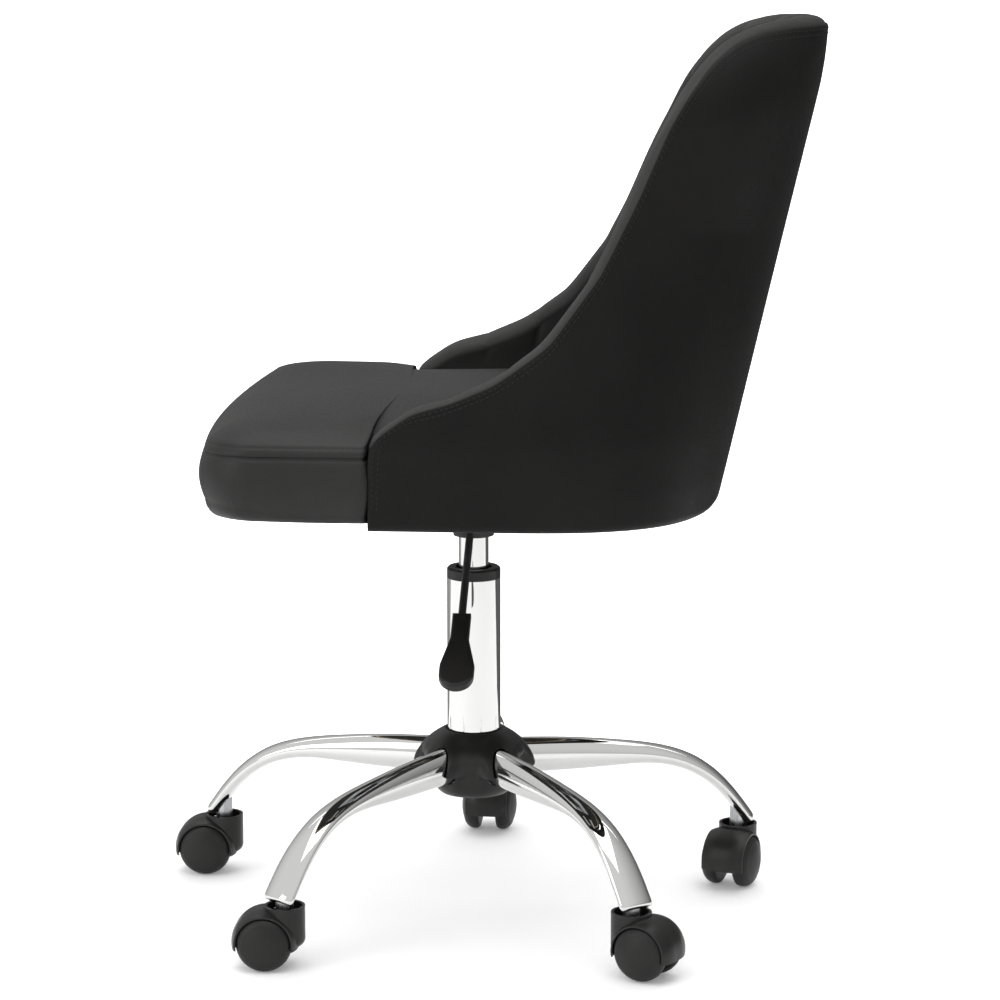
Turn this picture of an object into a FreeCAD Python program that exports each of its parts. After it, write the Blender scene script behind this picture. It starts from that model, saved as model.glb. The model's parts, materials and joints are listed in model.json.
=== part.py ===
import FreeCAD, Part
import math
import os
from types import SimpleNamespace

import Sketcher
from FreeCAD import Placement, Rotation, Vector

# A rolling stylist chair: a padded tub seat on a gas lift, a five-legged swept base and hooded twin-wheel
# casters. Millimetres, +Z up. The origin is on the floor under the lift's axis, the sitter faces -Y.

DRIVING = {
    # gas lift column
    "column_radius": 25, "column_top": 312, "column_foot": 107, "column_foot_radius": 23.5,
    "taper_top": 170, "column_wall": 2.3, "fit_gap": 0.05, "collar_top": 322, "collar_recess_radius": 17,
    "collar_recess": 3, "collar_edge": 1.5, "bushing_foot": 225, "foot_plate": 3, "crimps": 9,
    "crimp_angle": 21, "crimp_low": 150, "crimp_high": 184, "crimp_low_reach": 26.9,
    "crimp_high_reach": 25.1, "crimp_low_radius": 3, "crimp_high_radius": 0.2, "dimple_radius": 3,
    "dimple_reach": 27.2, "dimple_height": 304, "dimple_angle": -14,
    # piston rod, gas cylinder and valve
    "rod_radius": 5, "rod_foot": 101.5, "rod_top": 256, "rod_flange_radius": 8.5, "rod_flange": 2,
    "clip_radius": 8, "clip_foot": 104.9, "clip_thick": 1.4, "clip_seat_radius": 4.2, "piston_radius": 11.9,
    "piston_top": 270, "buffer_radius": 10.5, "buffer_top": 127, "cylinder_radius": 14,
    "cylinder_wall": 2, "cylinder_foot": 128, "cylinder_shoulder": 352, "cylinder_top": 380,
    "cylinder_tip_radius": 13.44, "cylinder_cap": 8, "guide_top": 146, "valve_foot": 345,
    "pin_radius": 4, "pin_foot": 352, "pin_top": 386.6, "pin_dome": 1.4, "pin_gap": 0.1,
    # thrust bearing
    "race_inner": 6, "race_outer": 12, "race_thick": 1.5, "balls": 8, "ball_radius": 1.5,
    "ball_circle": 9, "bearing_gap": 0.05,
    # hub and five legs
    "legs": 5, "first_leg_angle": 180.8, "hub_radius": 33, "hub_foot": 110, "hub_top": 157,
    "leg_wall": 1.6, "trim_margin": 20, "mouth_half_width": 13.5, "mouth_reach": 236,
    "mouth_height": 101, "mouth_depth": 20, "mouth_past": 14,
    # the leg's stations from the hub outwards: reach, height, droop angle, half height, half width
    "root_reach": 30, "root_height": 138.9, "root_droop": 1, "root_tall": 17.4, "root_wide": 12,
    "arm_reach": 90, "arm_height": 136.7, "arm_droop": 2.5, "arm_tall": 15.9, "arm_wide": 12,
    "waist_reach": 140, "waist_height": 134.3, "waist_droop": 4.5, "waist_tall": 12.5, "waist_wide": 12.4,
    "swell_reach": 178, "swell_height": 130.6, "swell_droop": 10.5, "swell_tall": 9.5, "swell_wide": 13.2,
    "bend_reach": 212, "bend_height": 119.8, "bend_droop": 26, "bend_tall": 8.1, "bend_wide": 14.4,
    "shin_reach": 240, "shin_height": 99.8, "shin_droop": 45, "shin_tall": 7, "shin_wide": 15.8,
    "toe_reach": 270.5, "toe_height": 61.8, "toe_droop": 57, "toe_tall": 6.6, "toe_wide": 17,
    # hub cover
    "cover_lip_radius": 43, "cover_foot": 109.5, "cover_waist_radius": 41.5, "cover_waist": 118,
    "cover_belly_radius": 57.5, "cover_belly": 133, "cover_shoulder_radius": 47, "cover_shoulder": 153,
    "cover_neck_radius": 28.8, "cover_brow": 60, "cover_top": 168, "cover_mouth_radius": 26, "cover_wall": 3,
    "arch_half_width": 13.2, "arch_foot": 112, "arch_spring": 143.2, "arch_start": 30,
    # casters
    "stem_circle": 261.6, "trail": 17, "wheel_radius": 25, "wheel_inner_face": 8.5,
    "wheel_tread_edge": 14, "wheel_shoulder_out": 24, "wheel_shoulder_radius": 17,
    "wheel_crown": 27.5, "wheel_heel": 4,
    "wheel_bore": 3.06, "wheel_bore_end": 24, "axle_radius": 3, "axle_half": 23, "hood_radius": 30,
    "hood_flat_half": 5, "hood_edge_radius": 26.4, "hood_edge_half": 20.5,
    "hood_foot": 19.5, "wheel_clearance": 1.6, "neck_radius": 18.2, "neck_top": 57,
    "neck_wall": 2.5, "cup_floor": 50, "neck_corner": 8, "stem_radius": 5.4, "stem_foot": 31,
    "stem_top": 73, "stem_flange_radius": 7.5, "stem_flange": 2, "stem_tip": 1.5, "socket_radius": 8,
    "socket_bore": 6.25, "socket_foot": 54.5, "socket_trim": 4.1, "ring_foot": 63, "ring_top": 69,
    # mechanism and lever
    "channel_half_width": 36, "channel_foot": 362, "channel_top": 399.5, "channel_back": -40,
    "channel_front": 34, "sheet_thick": 3, "bush_radius": 19, "ear_inner": 6, "ear_outer": 9,
    "ear_low": 384, "ear_near": 22, "pivot_reach": 28, "pivot_height": 390.5, "pivot_pin_radius": 2.5,
    "pivot_pin_half": 11, "pivot_tube_radius": 3.8, "pivot_tube_half": 5.5, "lever_radius": 3.5,
    "lever_tip": -5, "crank_start": 27, "crank_reach": 45, "crank_height": 357.6, "paddle_reach": 126,
    "paddle_height": 302.8, "paddle_slope": 34, "paddle_length": 89, "paddle_half": 15.5,
    "paddle_neck_half": 8.3, "paddle_neck": 30, "paddle_swell": 62, "paddle_thick": 10,
    "paddle_edge": 3, "paddle_grip": 34,
    # plate, board and fasteners
    "plate_half_width": 75, "plate_front": -95, "plate_back": 85, "plate_corner": 12, "bolt_across": 60,
    "bolt_front": -80, "bolt_back": 70, "bolt_radius": 3, "bolt_head": 4, "bolt_head_radius": 5.8,
    "bolt_top": 413, "bolt_hole": 3.3, "nut_radius": 4.1, "nut_flange_radius": 8, "nut_flange": 1.2,
    "dust_foot": 402.7, "dust_thick": 0.9, "dust_inset": 4, "board_inset": 11, "board_foot": 403.8,
    "board_top": 415.7,
    "cleat_foot": 399.8,
    "cleat_thick": 2.6, "cleat_width": 28, "cleat_inner": 120, "cleat_outer": 211,
    "cleat_front_place": -52, "cleat_back_place": 48, "screw_radius": 2, "screw_head_radius": 4,
    "screw_head": 2, "screw_length": 9, "screw_inset": 12,
    # seat cushion
    "cushion_half_width": 226, "corner_across": 182, "corner_front": -222,
    "corner_side": -172, "corner_round": 47, "front_round": 1520, "notch": -74.5, "tail_half_width": 186.1,
    "tail_start": 60, "tail_round": 115.5, "tail_corner_across": 110,
    "tail_corner": 172, "tail_back_round": 405.6, "cushion_foot": 403.7, "cushion_top": 481.5,
    "cushion_edge": 16, "cover_thick": 2, "foam_foot": 417.2,
    # tub back
    "tub_half_width": 228, "tub_depth": 205, "tub_wall": 40, "tub_foot": 397, "tub_top": 831,
    "lean_base": 400, "lean_rise": 430, "back_foot": 227.3, "back_lean": 100.3,
    "curl_start": 760, "curl_rise": 70, "back_curl": 7.5,
    "taper_start": 470, "taper_rise": 360, "top_narrowing": 58, "taper_power": 1.3,
    "pinch_start": 740, "pinch_rise": 100, "top_pinch": 86,
    "skin_thick": 2, "frame_depth": 12, "foam_gap": 0.3, "rail_foot": 402.7, "rail_top": 421,
    "rear_corner": 16, "heel_corner": 9,
    "square_foot": 3.2, "square_top": 2.2, "square_start": 430, "square_rise": 220,
}

# How far a cutting tool runs past the piece it cuts.
OVERCUT = 1

document = FreeCAD.newDocument("StylistChair")
sheet = document.addObject("Spreadsheet::Sheet", "Sizes")


class Size:
    """A length or angle: its value, and the sheet expression that gives it."""

    def __init__(self, value, text):
        self.value = float(value)
        self.text = text

    def joined(self, sign, other, value):
        return Size(value, f"({self.text} {sign} {text_of(other)})")

    def __add__(self, other):
        return self.joined("+", other, self.value + value_of(other))

    def __sub__(self, other):
        return self.joined("-", other, self.value - value_of(other))

    def __mul__(self, other):
        return self.joined("*", other, self.value * value_of(other))

    def __truediv__(self, other):
        return self.joined("/", other, self.value / value_of(other))

    def __neg__(self):
        return Size(-self.value, f"(0 - {self.text})")


def value_of(size):
    return size.value if isinstance(size, Size) else float(size)


def text_of(size):
    return size.text if isinstance(size, Size) else repr(size)


def fill_sheet():
    """Puts the driving dimensions in the sheet, and gives each as a Size by its name."""
    for row, (alias, value) in enumerate(DRIVING.items(), start=1):
        sheet.set(f"A{row}", alias)
        sheet.set(f"B{row}", str(value))
        sheet.setAlias(f"B{row}", alias)
    document.recompute()
    return SimpleNamespace(**{alias: Size(getattr(sheet, alias), f"Sizes.{alias}") for alias in DRIVING})


size = fill_sheet()
mm = SimpleNamespace(**{alias: getattr(size, alias).value for alias in DRIVING})
nodes = {}


# ---------------------------------------------------------------- helpers

def bind(thing, path, amount):
    thing.setExpression(path, text_of(amount))


def named(thing, label):
    """Registers a finished sub-part under its node name."""
    thing.Label = label
    nodes[label] = thing
    return thing


def new_sketch(body, name, role, lift=None):
    """A sketch on one of the body's own origin planes, moved along the plane's normal by lift."""
    sketch = body.newObject("Sketcher::SketchObject", name)
    plane = next(f for f in body.Origin.OriginFeatures if f.Role == role)
    sketch.AttachmentSupport = (plane, [""])
    sketch.MapMode = "FlatFace"
    if lift is not None:
        bind(sketch, "AttachmentOffset.Base.z", lift)
    return sketch


def pin_point(sketch, edge, end, x, y):
    """Holds one end of a sketch edge at the point (x, y)."""
    for kind, amount in (("DistanceX", x), ("DistanceY", y)):
        index = sketch.addConstraint(Sketcher.Constraint(kind, edge, end, value_of(amount)))
        bind(sketch, f"Constraints[{index}]", amount)


def arc_centre(start, finish, radius):
    """The centre of an arc from start to finish: a positive radius turns left, a negative one right."""
    middle = (start + finish) * 0.5
    chord = finish - start
    height = math.sqrt(max(radius * radius - chord.Length ** 2 / 4, 0))
    normal = Vector(-chord.y, chord.x, 0).normalize()
    return middle + normal * math.copysign(height, radius)


def outline(sketch, corners):
    """A closed outline through corners (x, y) or (x, y, radius), where a radius makes an arc to the next
    corner: positive arcs turn left. Every corner and radius is bound to the sheet."""
    ends = []
    for place, corner in enumerate(corners):
        following = corners[(place + 1) % len(corners)]
        start = Vector(value_of(corner[0]), value_of(corner[1]), 0)
        finish = Vector(value_of(following[0]), value_of(following[1]), 0)
        if len(corner) == 2:
            edge = sketch.addGeometry(Part.LineSegment(start, finish), False)
            ends.append((edge, 1, 2))
            pin_point(sketch, edge, 1, corner[0], corner[1])
            continue
        radius = value_of(corner[2])
        centre = arc_centre(start, finish, radius)
        low, high = (start, finish) if radius > 0 else (finish, start)
        circle = Part.Circle(centre, Vector(0, 0, 1), abs(radius))
        first = math.atan2(low.y - centre.y, low.x - centre.x)
        last = math.atan2(high.y - centre.y, high.x - centre.x)
        last += 2 * math.pi if last < first else 0
        edge = sketch.addGeometry(Part.ArcOfCircle(circle, first, last), False)
        begin, end = (1, 2) if radius > 0 else (2, 1)
        ends.append((edge, begin, end))
        pin_point(sketch, edge, begin, corner[0], corner[1])
        chord = finish - start
        if abs(chord.Length - 2 * abs(radius)) < 1e-6:
            flat = abs(chord.x) > abs(chord.y)
            kind, amount = ("DistanceY", corner[1]) if flat else ("DistanceX", corner[0])
            index = sketch.addConstraint(Sketcher.Constraint(kind, edge, 3, value_of(amount)))
            bind(sketch, f"Constraints[{index}]", amount)
            continue
        index = sketch.addConstraint(Sketcher.Constraint("Radius", edge, abs(radius)))
        bind(sketch, f"Constraints[{index}]", corner[2] if radius > 0 else -corner[2])
    for (edge, _, end), (following, begin, _) in zip(ends, ends[1:] + ends[:1]):
        sketch.addConstraint(Sketcher.Constraint("Coincident", edge, end, following, begin))


def circle_outline(sketch, x, y, radius):
    centre = Vector(value_of(x), value_of(y), 0)
    edge = sketch.addGeometry(Part.Circle(centre, Vector(0, 0, 1), value_of(radius)), False)
    pin_point(sketch, edge, 3, x, y)
    index = sketch.addConstraint(Sketcher.Constraint("Radius", edge, value_of(radius)))
    bind(sketch, f"Constraints[{index}]", radius)


def turned(name, corners):
    """A body turned about Z from an outline of (radius, height) corners."""
    body = document.addObject("PartDesign::Body", name)
    sketch = new_sketch(body, name + "_profile", "XZ_Plane")
    outline(sketch, corners)
    turn = body.newObject("PartDesign::Revolution", name + "_turn")
    turn.Profile = sketch
    turn.ReferenceAxis = (sketch, ["V_Axis"])
    turn.Angle = 360
    return body


def ring(name, inner, outer, low, high):
    return turned(name, [(inner, low), (outer, low), (outer, high), (inner, high)])


def padded(name, corners, low, high, holes=()):
    """A body standing on an outline in plan, from height low to high, with holes (x, y, radius)."""
    body = document.addObject("PartDesign::Body", name)
    sketch = new_sketch(body, name + "_plan", "XY_Plane", low)
    outline(sketch, corners)
    for x, y, radius in holes:
        circle_outline(sketch, x, y, radius)
    pad = body.newObject("PartDesign::Pad", name + "_pad")
    pad.Profile = sketch
    bind(pad, "Length", high - low)
    return body


def fillet_level(body, feature, level, radius):
    """Rounds the edges of a feature that lie flat at one height."""
    document.recompute()
    edges = [
        f"Edge{number}"
        for number, edge in enumerate(feature.Shape.Edges, start=1)
        if all(abs(vertex.Z - value_of(level)) < 1e-6 for vertex in edge.Vertexes)
    ]
    fillet = body.newObject("PartDesign::Fillet", f"{body.Name}_round_{int(value_of(level))}")
    fillet.Base = (feature, edges)
    bind(fillet, "Radius", radius)
    return fillet


def cylinder(name, radius, low, high, x=0, y=0):
    """An upright cylinder from height low to high."""
    rod = document.addObject("Part::Cylinder", name)
    bind(rod, "Radius", radius)
    bind(rod, "Height", high - low)
    for axis, amount in (("x", x), ("y", y), ("z", low)):
        bind(rod, f"Placement.Base.{axis}", amount)
    return rod


def cross_cylinder(name, radius, half_length, x, z):
    """A cylinder along Y, centred on the middle plane."""
    rod = document.addObject("Part::Cylinder", name)
    rod.Placement = Placement(Vector(0, 0, 0), Rotation(Vector(1, 0, 0), -90))
    bind(rod, "Radius", radius)
    bind(rod, "Height", half_length * 2)
    for axis, amount in (("x", x), ("y", -half_length), ("z", z)):
        bind(rod, f"Placement.Base.{axis}", amount)
    return rod


def box(name, x, y, z):
    """A box between the (low, high) pairs x, y and z."""
    block = document.addObject("Part::Box", name)
    for side, axis, (low, high) in (("Length", "x", x), ("Width", "y", y), ("Height", "z", z)):
        bind(block, side, high - low)
        bind(block, f"Placement.Base.{axis}", low)
    return block


def fuse(name, *parts):
    joined = document.addObject("Part::MultiFuse", name)
    joined.Shapes = list(parts)
    return joined


def cut(name, base, *tools):
    """base less the tools."""
    tool = tools[0] if len(tools) == 1 else fuse(name + "_tools", *tools)
    result = document.addObject("Part::Cut", name)
    result.Base = base
    result.Tool = tool
    return result


def group(name, parts):
    compound = document.addObject("Part::Compound", name)
    compound.Links = list(parts)
    return compound


def copy(name, source, placement):
    """Another of the same piece at its own place."""
    twin = group(name, [source])
    twin.Placement = placement
    return twin


def shaped(name, shape):
    """A free-form piece."""
    piece = document.addObject("Part::Feature", name)
    piece.Shape = shape
    return piece


# ---------------------------------------------------------------- gas lift

def make_column():
    wall = size.column_wall
    slope = (size.column_radius - size.column_foot_radius) / (size.taper_top - size.column_foot)
    body = turned("column_tube", [
        (size.column_foot_radius, size.column_foot), (size.column_radius, size.taper_top),
        (size.column_radius, size.column_top), (size.column_radius - wall, size.column_top),
        (size.column_radius - wall, size.taper_top), (size.column_foot_radius - wall, size.column_foot),
    ])
    make_crimps(body)
    named(body, "column_tube")
    sleeve = size.column_radius - wall - size.fit_gap
    bore = size.cylinder_radius + size.fit_gap
    floor = size.collar_top - size.collar_recess
    named(turned("column_bushing", [
        (bore, size.bushing_foot), (sleeve, size.bushing_foot), (sleeve, size.column_top),
        (size.column_radius, size.column_top), (size.column_radius, size.collar_top - size.collar_edge),
        (size.column_radius - size.collar_edge, size.collar_top),
        (size.collar_recess_radius, size.collar_top), (size.collar_recess_radius, floor), (bore, floor),
    ]), "column_bushing")
    plate_radius = size.column_foot_radius - wall - size.fit_gap
    plate_top = size.column_foot + size.foot_plate
    named(ring("column_base_plate", size.rod_radius + size.fit_gap, plate_radius, size.column_foot,
               plate_top), "column_base_plate")
    bore_foot = size.column_foot_radius + slope * (size.hub_foot - size.column_foot) + size.fit_gap
    bore_top = size.column_foot_radius + slope * (size.hub_top - size.column_foot) + size.fit_gap
    named(turned("hub_core", [
        (bore_foot, size.hub_foot), (size.hub_radius, size.hub_foot), (size.hub_radius, size.hub_top),
        (bore_top, size.hub_top),
    ]), "hub_core")


def make_crimps(body):
    """Pointed crimp grooves round the column's taper, and one punched dimple near its top."""
    lean = math.degrees(math.atan2(mm.crimp_low_reach - mm.crimp_high_reach, mm.crimp_high - mm.crimp_low))
    groove = body.newObject("PartDesign::SubtractiveCone", "crimp_groove")
    bind(groove, "Radius1", size.crimp_low_radius)
    bind(groove, "Radius2", size.crimp_high_radius)
    bind(groove, "Height", size.crimp_high - size.crimp_low)
    foot = Vector(mm.crimp_low_reach, 0, mm.crimp_low)
    turn = Placement(Vector(), Rotation(Vector(0, 0, 1), mm.crimp_angle))
    groove.Placement = turn.multiply(Placement(foot, Rotation(Vector(0, 1, 0), -lean)))
    document.recompute()
    pattern = body.newObject("PartDesign::PolarPattern", "crimp_ring")
    pattern.Originals = [groove]
    pattern.Axis = (next(f for f in body.Origin.OriginFeatures if f.Role == "Z_Axis"), [""])
    pattern.Angle = 360
    bind(pattern, "Occurrences", size.crimps)
    body.Tip = pattern
    document.recompute()
    dimple = body.newObject("PartDesign::SubtractiveSphere", "column_dimple")
    bind(dimple, "Radius", size.dimple_radius)
    angle = math.radians(mm.dimple_angle)
    reach = Vector(math.cos(angle), math.sin(angle), 0) * mm.dimple_reach
    dimple.Placement = Placement(reach + Vector(0, 0, mm.dimple_height), Rotation())
    body.Tip = dimple


def make_bearing():
    floor = size.column_foot + size.foot_plate
    lower = ring("race_lower", size.race_inner, size.race_outer, floor, floor + size.race_thick)
    balls_top = floor + size.race_thick + size.ball_radius * 2
    upper = ring("race_upper", size.race_inner, size.race_outer, balls_top, balls_top + size.race_thick)
    balls = []
    for number in range(int(mm.balls)):
        ball = document.addObject("Part::Sphere", f"bearing_ball_{number + 1}")
        bind(ball, "Radius", size.ball_radius)
        angle = math.radians(360 * number / mm.balls)
        bind(ball, "Placement.Base.x", size.ball_circle * math.cos(angle))
        bind(ball, "Placement.Base.y", size.ball_circle * math.sin(angle))
        bind(ball, "Placement.Base.z", floor + size.race_thick + size.ball_radius)
        balls.append(ball)
    named(group("thrust_bearing", [lower, upper] + balls), "thrust_bearing")
    return balls_top + size.race_thick


def make_rod(bearing_top):
    """The piston rod hangs on the bearing by its flange; the clip under the foot plate keeps it there."""
    flange_foot = bearing_top + size.bearing_gap
    flange_top = flange_foot + size.rod_flange
    clip_top = size.clip_foot + size.clip_thick
    named(turned("piston_rod", [
        (0, size.rod_foot), (size.rod_radius, size.rod_foot), (size.rod_radius, size.clip_foot),
        (size.clip_seat_radius, size.clip_foot), (size.clip_seat_radius, clip_top),
        (size.rod_radius, clip_top), (size.rod_radius, flange_foot), (size.rod_flange_radius, flange_foot),
        (size.rod_flange_radius, flange_top), (size.rod_radius, flange_top),
        (size.rod_radius, size.rod_top), (0, size.rod_top),
    ]), "piston_rod")
    named(ring("rod_clip", size.clip_seat_radius, size.clip_radius, size.clip_foot, clip_top), "rod_clip")
    named(ring("bump_stop", size.rod_radius + size.fit_gap, size.buffer_radius, flange_top,
               size.buffer_top), "bump_stop")
    named(turned("piston", [
        (0, size.rod_top), (size.piston_radius, size.rod_top), (size.piston_radius, size.piston_top),
        (0, size.piston_top),
    ]), "piston")


def make_cylinder():
    bore = size.cylinder_radius - size.cylinder_wall
    cap = size.cylinder_top - size.cylinder_cap
    pin_bore = size.pin_radius + size.pin_gap
    named(turned("gas_cylinder", [
        (bore, size.cylinder_foot), (size.cylinder_radius, size.cylinder_foot),
        (size.cylinder_radius, size.cylinder_shoulder), (size.cylinder_tip_radius, size.cylinder_top),
        (pin_bore, size.cylinder_top), (pin_bore, cap), (bore, cap),
    ]), "gas_cylinder")
    plug = bore - size.fit_gap
    named(ring("cylinder_guide", size.rod_radius + size.fit_gap, plug, size.cylinder_foot,
               size.guide_top), "cylinder_guide")
    named(ring("valve_body", pin_bore, plug, size.valve_foot, cap), "valve_body")
    named(turned("valve_pin", [
        (0, size.pin_foot), (size.pin_radius, size.pin_foot),
        (size.pin_radius, size.pin_top - size.pin_dome), (size.pin_radius * 0.5, size.pin_top),
        (0, size.pin_top),
    ]), "valve_pin")


# ---------------------------------------------------------------- five-legged base

LEG_STATIONS = ("root", "arm", "waist", "swell", "bend", "shin", "toe")
SECTION_POINTS = 16


def leg_section(station, inset):
    """The leg's oval section at a station, as a closed smooth wire in the plane across the leg."""
    reach, height, droop, tall, wide = (
        getattr(mm, f"{station}_{part}") for part in ("reach", "height", "droop", "tall", "wide")
    )
    slope = math.radians(droop)
    across = Vector(0, 1, 0)
    upward = Vector(math.sin(slope), 0, math.cos(slope))
    centre = Vector(reach, 0, height)
    points = []
    for number in range(SECTION_POINTS):
        angle = 2 * math.pi * number / SECTION_POINTS
        side = across * ((wide - inset) * math.sin(angle))
        rise = upward * ((tall - inset) * math.cos(angle))
        points.append(centre + side + rise)
    curve = Part.BSplineCurve()
    curve.interpolate(points, PeriodicFlag=True)
    return Part.Wire([curve.toShape()])


def leg_loft(inset):
    return Part.makeLoft([leg_section(station, inset) for station in LEG_STATIONS], True)


def make_legs():
    """Swaged oval tubes: tall at the hub, flat and wide at the toe, where the underside is open."""
    outer = shaped("leg_outer", leg_loft(0))
    inner = shaped("leg_inner", leg_loft(mm.leg_wall))
    toe_drop = size.toe_height - size.mouth_depth
    body = document.addObject("PartDesign::Body", "leg_mouth")
    mouth = new_sketch(body, "leg_mouth_side", "XZ_Plane")
    outline(mouth, [
        (size.mouth_reach, size.mouth_height), (size.mouth_reach, toe_drop),
        (size.toe_reach + size.mouth_past, toe_drop), (size.toe_reach, size.toe_height),
    ])
    pad = body.newObject("PartDesign::Pad", "leg_mouth_pad")
    pad.Profile = mouth
    pad.Midplane = True
    bind(pad, "Length", size.mouth_half_width * 2)
    core = cylinder("leg_root_trim", size.hub_radius, size.hub_foot - size.trim_margin,
                    size.hub_top + size.trim_margin)
    leg = cut("leg_shape", outer, inner, body, core)
    document.recompute()
    tube = cylinder("socket_tube", size.socket_radius, size.socket_foot, size.shin_height, size.stem_circle)
    hole = cylinder("socket_hole", size.socket_bore, size.socket_foot - OVERCUT, size.shin_height,
                    size.stem_circle)
    socket = cut("socket_piece", tube, hole, make_socket_trim())
    grip = ring("grip_ring", size.stem_radius + size.fit_gap, size.socket_bore - size.fit_gap,
                size.ring_foot, size.ring_top)
    grip_piece = copy("grip_piece", grip, Placement(Vector(mm.stem_circle, 0, 0), Rotation()))
    fittings = []
    for number in range(1, int(mm.legs) + 1):
        spot = Placement(Vector(), Rotation(Vector(0, 0, 1), leg_angle(number)))
        named(copy(f"leg_{number}", leg, spot), f"leg_{number}")
        fittings.append(copy(f"socket_{number}", socket, spot))
        fittings.append(copy(f"grip_{number}", grip_piece, spot))
    named(group("stem_sockets", fittings), "stem_sockets")


def make_socket_trim():
    """A block lying on the inside of the leg's upper wall, which cuts the socket tube to meet it."""
    run = mm.toe_reach - mm.shin_reach
    fall = mm.shin_height - mm.toe_height
    slope = math.atan2(fall, run)
    reach = 60
    block = document.addObject("Part::Box", "socket_trim")
    block.Length = 2 * reach
    block.Width = 2 * reach
    block.Height = reach
    foot = Vector(mm.toe_reach, 0, mm.toe_height)
    turn = Rotation(Vector(0, 1, 0), math.degrees(slope))
    block.Placement = Placement(foot + turn.multVec(Vector(-reach, -reach, mm.socket_trim)), turn)
    return block


def leg_angle(number):
    """Leg 5 points away, close to -X; the others follow round the star."""
    return mm.first_leg_angle + 360 * number / mm.legs


def crown_radius(reach, rise):
    """The radius of an arc that starts square to reach and comes to a point reach in and rise along."""
    return (reach * reach + rise * rise) / (reach * 2)


def make_hub_cover():
    """A moulded dome over the hub with an arch for each leg."""
    wall = size.cover_wall
    belly, waist, shoulder = size.cover_belly_radius, size.cover_waist_radius, size.cover_shoulder_radius
    under = size.cover_belly - size.cover_waist
    over = size.cover_shoulder - size.cover_belly
    inner_belly = belly - wall
    inner_shoulder = shoulder - wall * 0.7
    inner_over = over - wall * 0.8
    body = turned("hub_cover", [
        (size.cover_lip_radius - wall, size.cover_foot), (size.cover_lip_radius, size.cover_foot),
        (waist, size.cover_waist, crown_radius(belly - waist, under)),
        (belly, size.cover_belly, crown_radius(belly - shoulder, over)),
        (shoulder, size.cover_shoulder, size.cover_brow), (size.cover_neck_radius, size.cover_top),
        (size.cover_mouth_radius, size.cover_top),
        (size.cover_mouth_radius, size.cover_top - wall, -size.cover_brow),
        (inner_shoulder, size.cover_belly + inner_over,
         -crown_radius(inner_belly - inner_shoulder, inner_over)),
        (inner_belly, size.cover_belly, -crown_radius(belly - waist, under - wall * 0.4)),
        (waist - wall, size.cover_waist + wall * 0.4),
    ])
    document.recompute()
    before = body.Shape.Volume
    arch = new_sketch(body, "arch_outline", "YZ_Plane", size.arch_start)
    half = size.arch_half_width
    outline(arch, [
        (-half, size.arch_foot), (half, size.arch_foot), (half, size.arch_spring, half),
        (-half, size.arch_spring),
    ])
    pocket = body.newObject("PartDesign::Pocket", "arch_cut")
    pocket.Profile = arch
    bind(pocket, "Length", size.arch_start)
    pocket.Reversed = True
    document.recompute()
    assert pocket.Shape.Volume < before, "the arch misses the cover"
    pattern = body.newObject("PartDesign::PolarPattern", "arch_ring")
    pattern.Originals = [pocket]
    pattern.Axis = (next(f for f in body.Origin.OriginFeatures if f.Role == "Z_Axis"), [""])
    pattern.Angle = 360
    bind(pattern, "Occurrences", size.legs)
    body.Tip = pattern
    body.Placement = Placement(Vector(), Rotation(Vector(0, 0, 1), mm.first_leg_angle))
    named(body, "hub_cover")


# ---------------------------------------------------------------- casters

# The way each caster trails from its stem at rest, in degrees from +X.
TRAIL_ANGLES = (-90, -90, 63, -20, -4)


def wheel_outline(grow):
    """Half section of a domed wheel, as (radius, distance from the caster's middle)."""
    inner_face = size.wheel_inner_face - grow
    tread = size.wheel_radius + grow
    shoulder = size.wheel_shoulder_radius + grow
    shoulder_out = size.wheel_shoulder_out + grow
    crown = size.wheel_crown + grow
    return [
        (tread - size.wheel_heel, inner_face, size.wheel_heel), (tread, inner_face + size.wheel_heel),
        (tread, size.wheel_tread_edge, crown_radius(tread - shoulder, shoulder_out - size.wheel_tread_edge)),
        (shoulder, shoulder_out, crown_radius(crown - shoulder_out, shoulder)), (0, crown),
    ]


def make_wheel():
    return turned("wheel", wheel_outline(0) + [
        (0, size.wheel_bore_end), (size.wheel_bore, size.wheel_bore_end),
        (size.wheel_bore, size.wheel_inner_face),
    ])


def axle_placement(flip):
    """Lays a piece turned about Z along the axle, on one side or the other."""
    turn = Rotation(Vector(1, 0, 0), 90 if flip else -90)
    return Placement(Vector(mm.trail, 0, mm.wheel_radius), turn)


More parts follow.
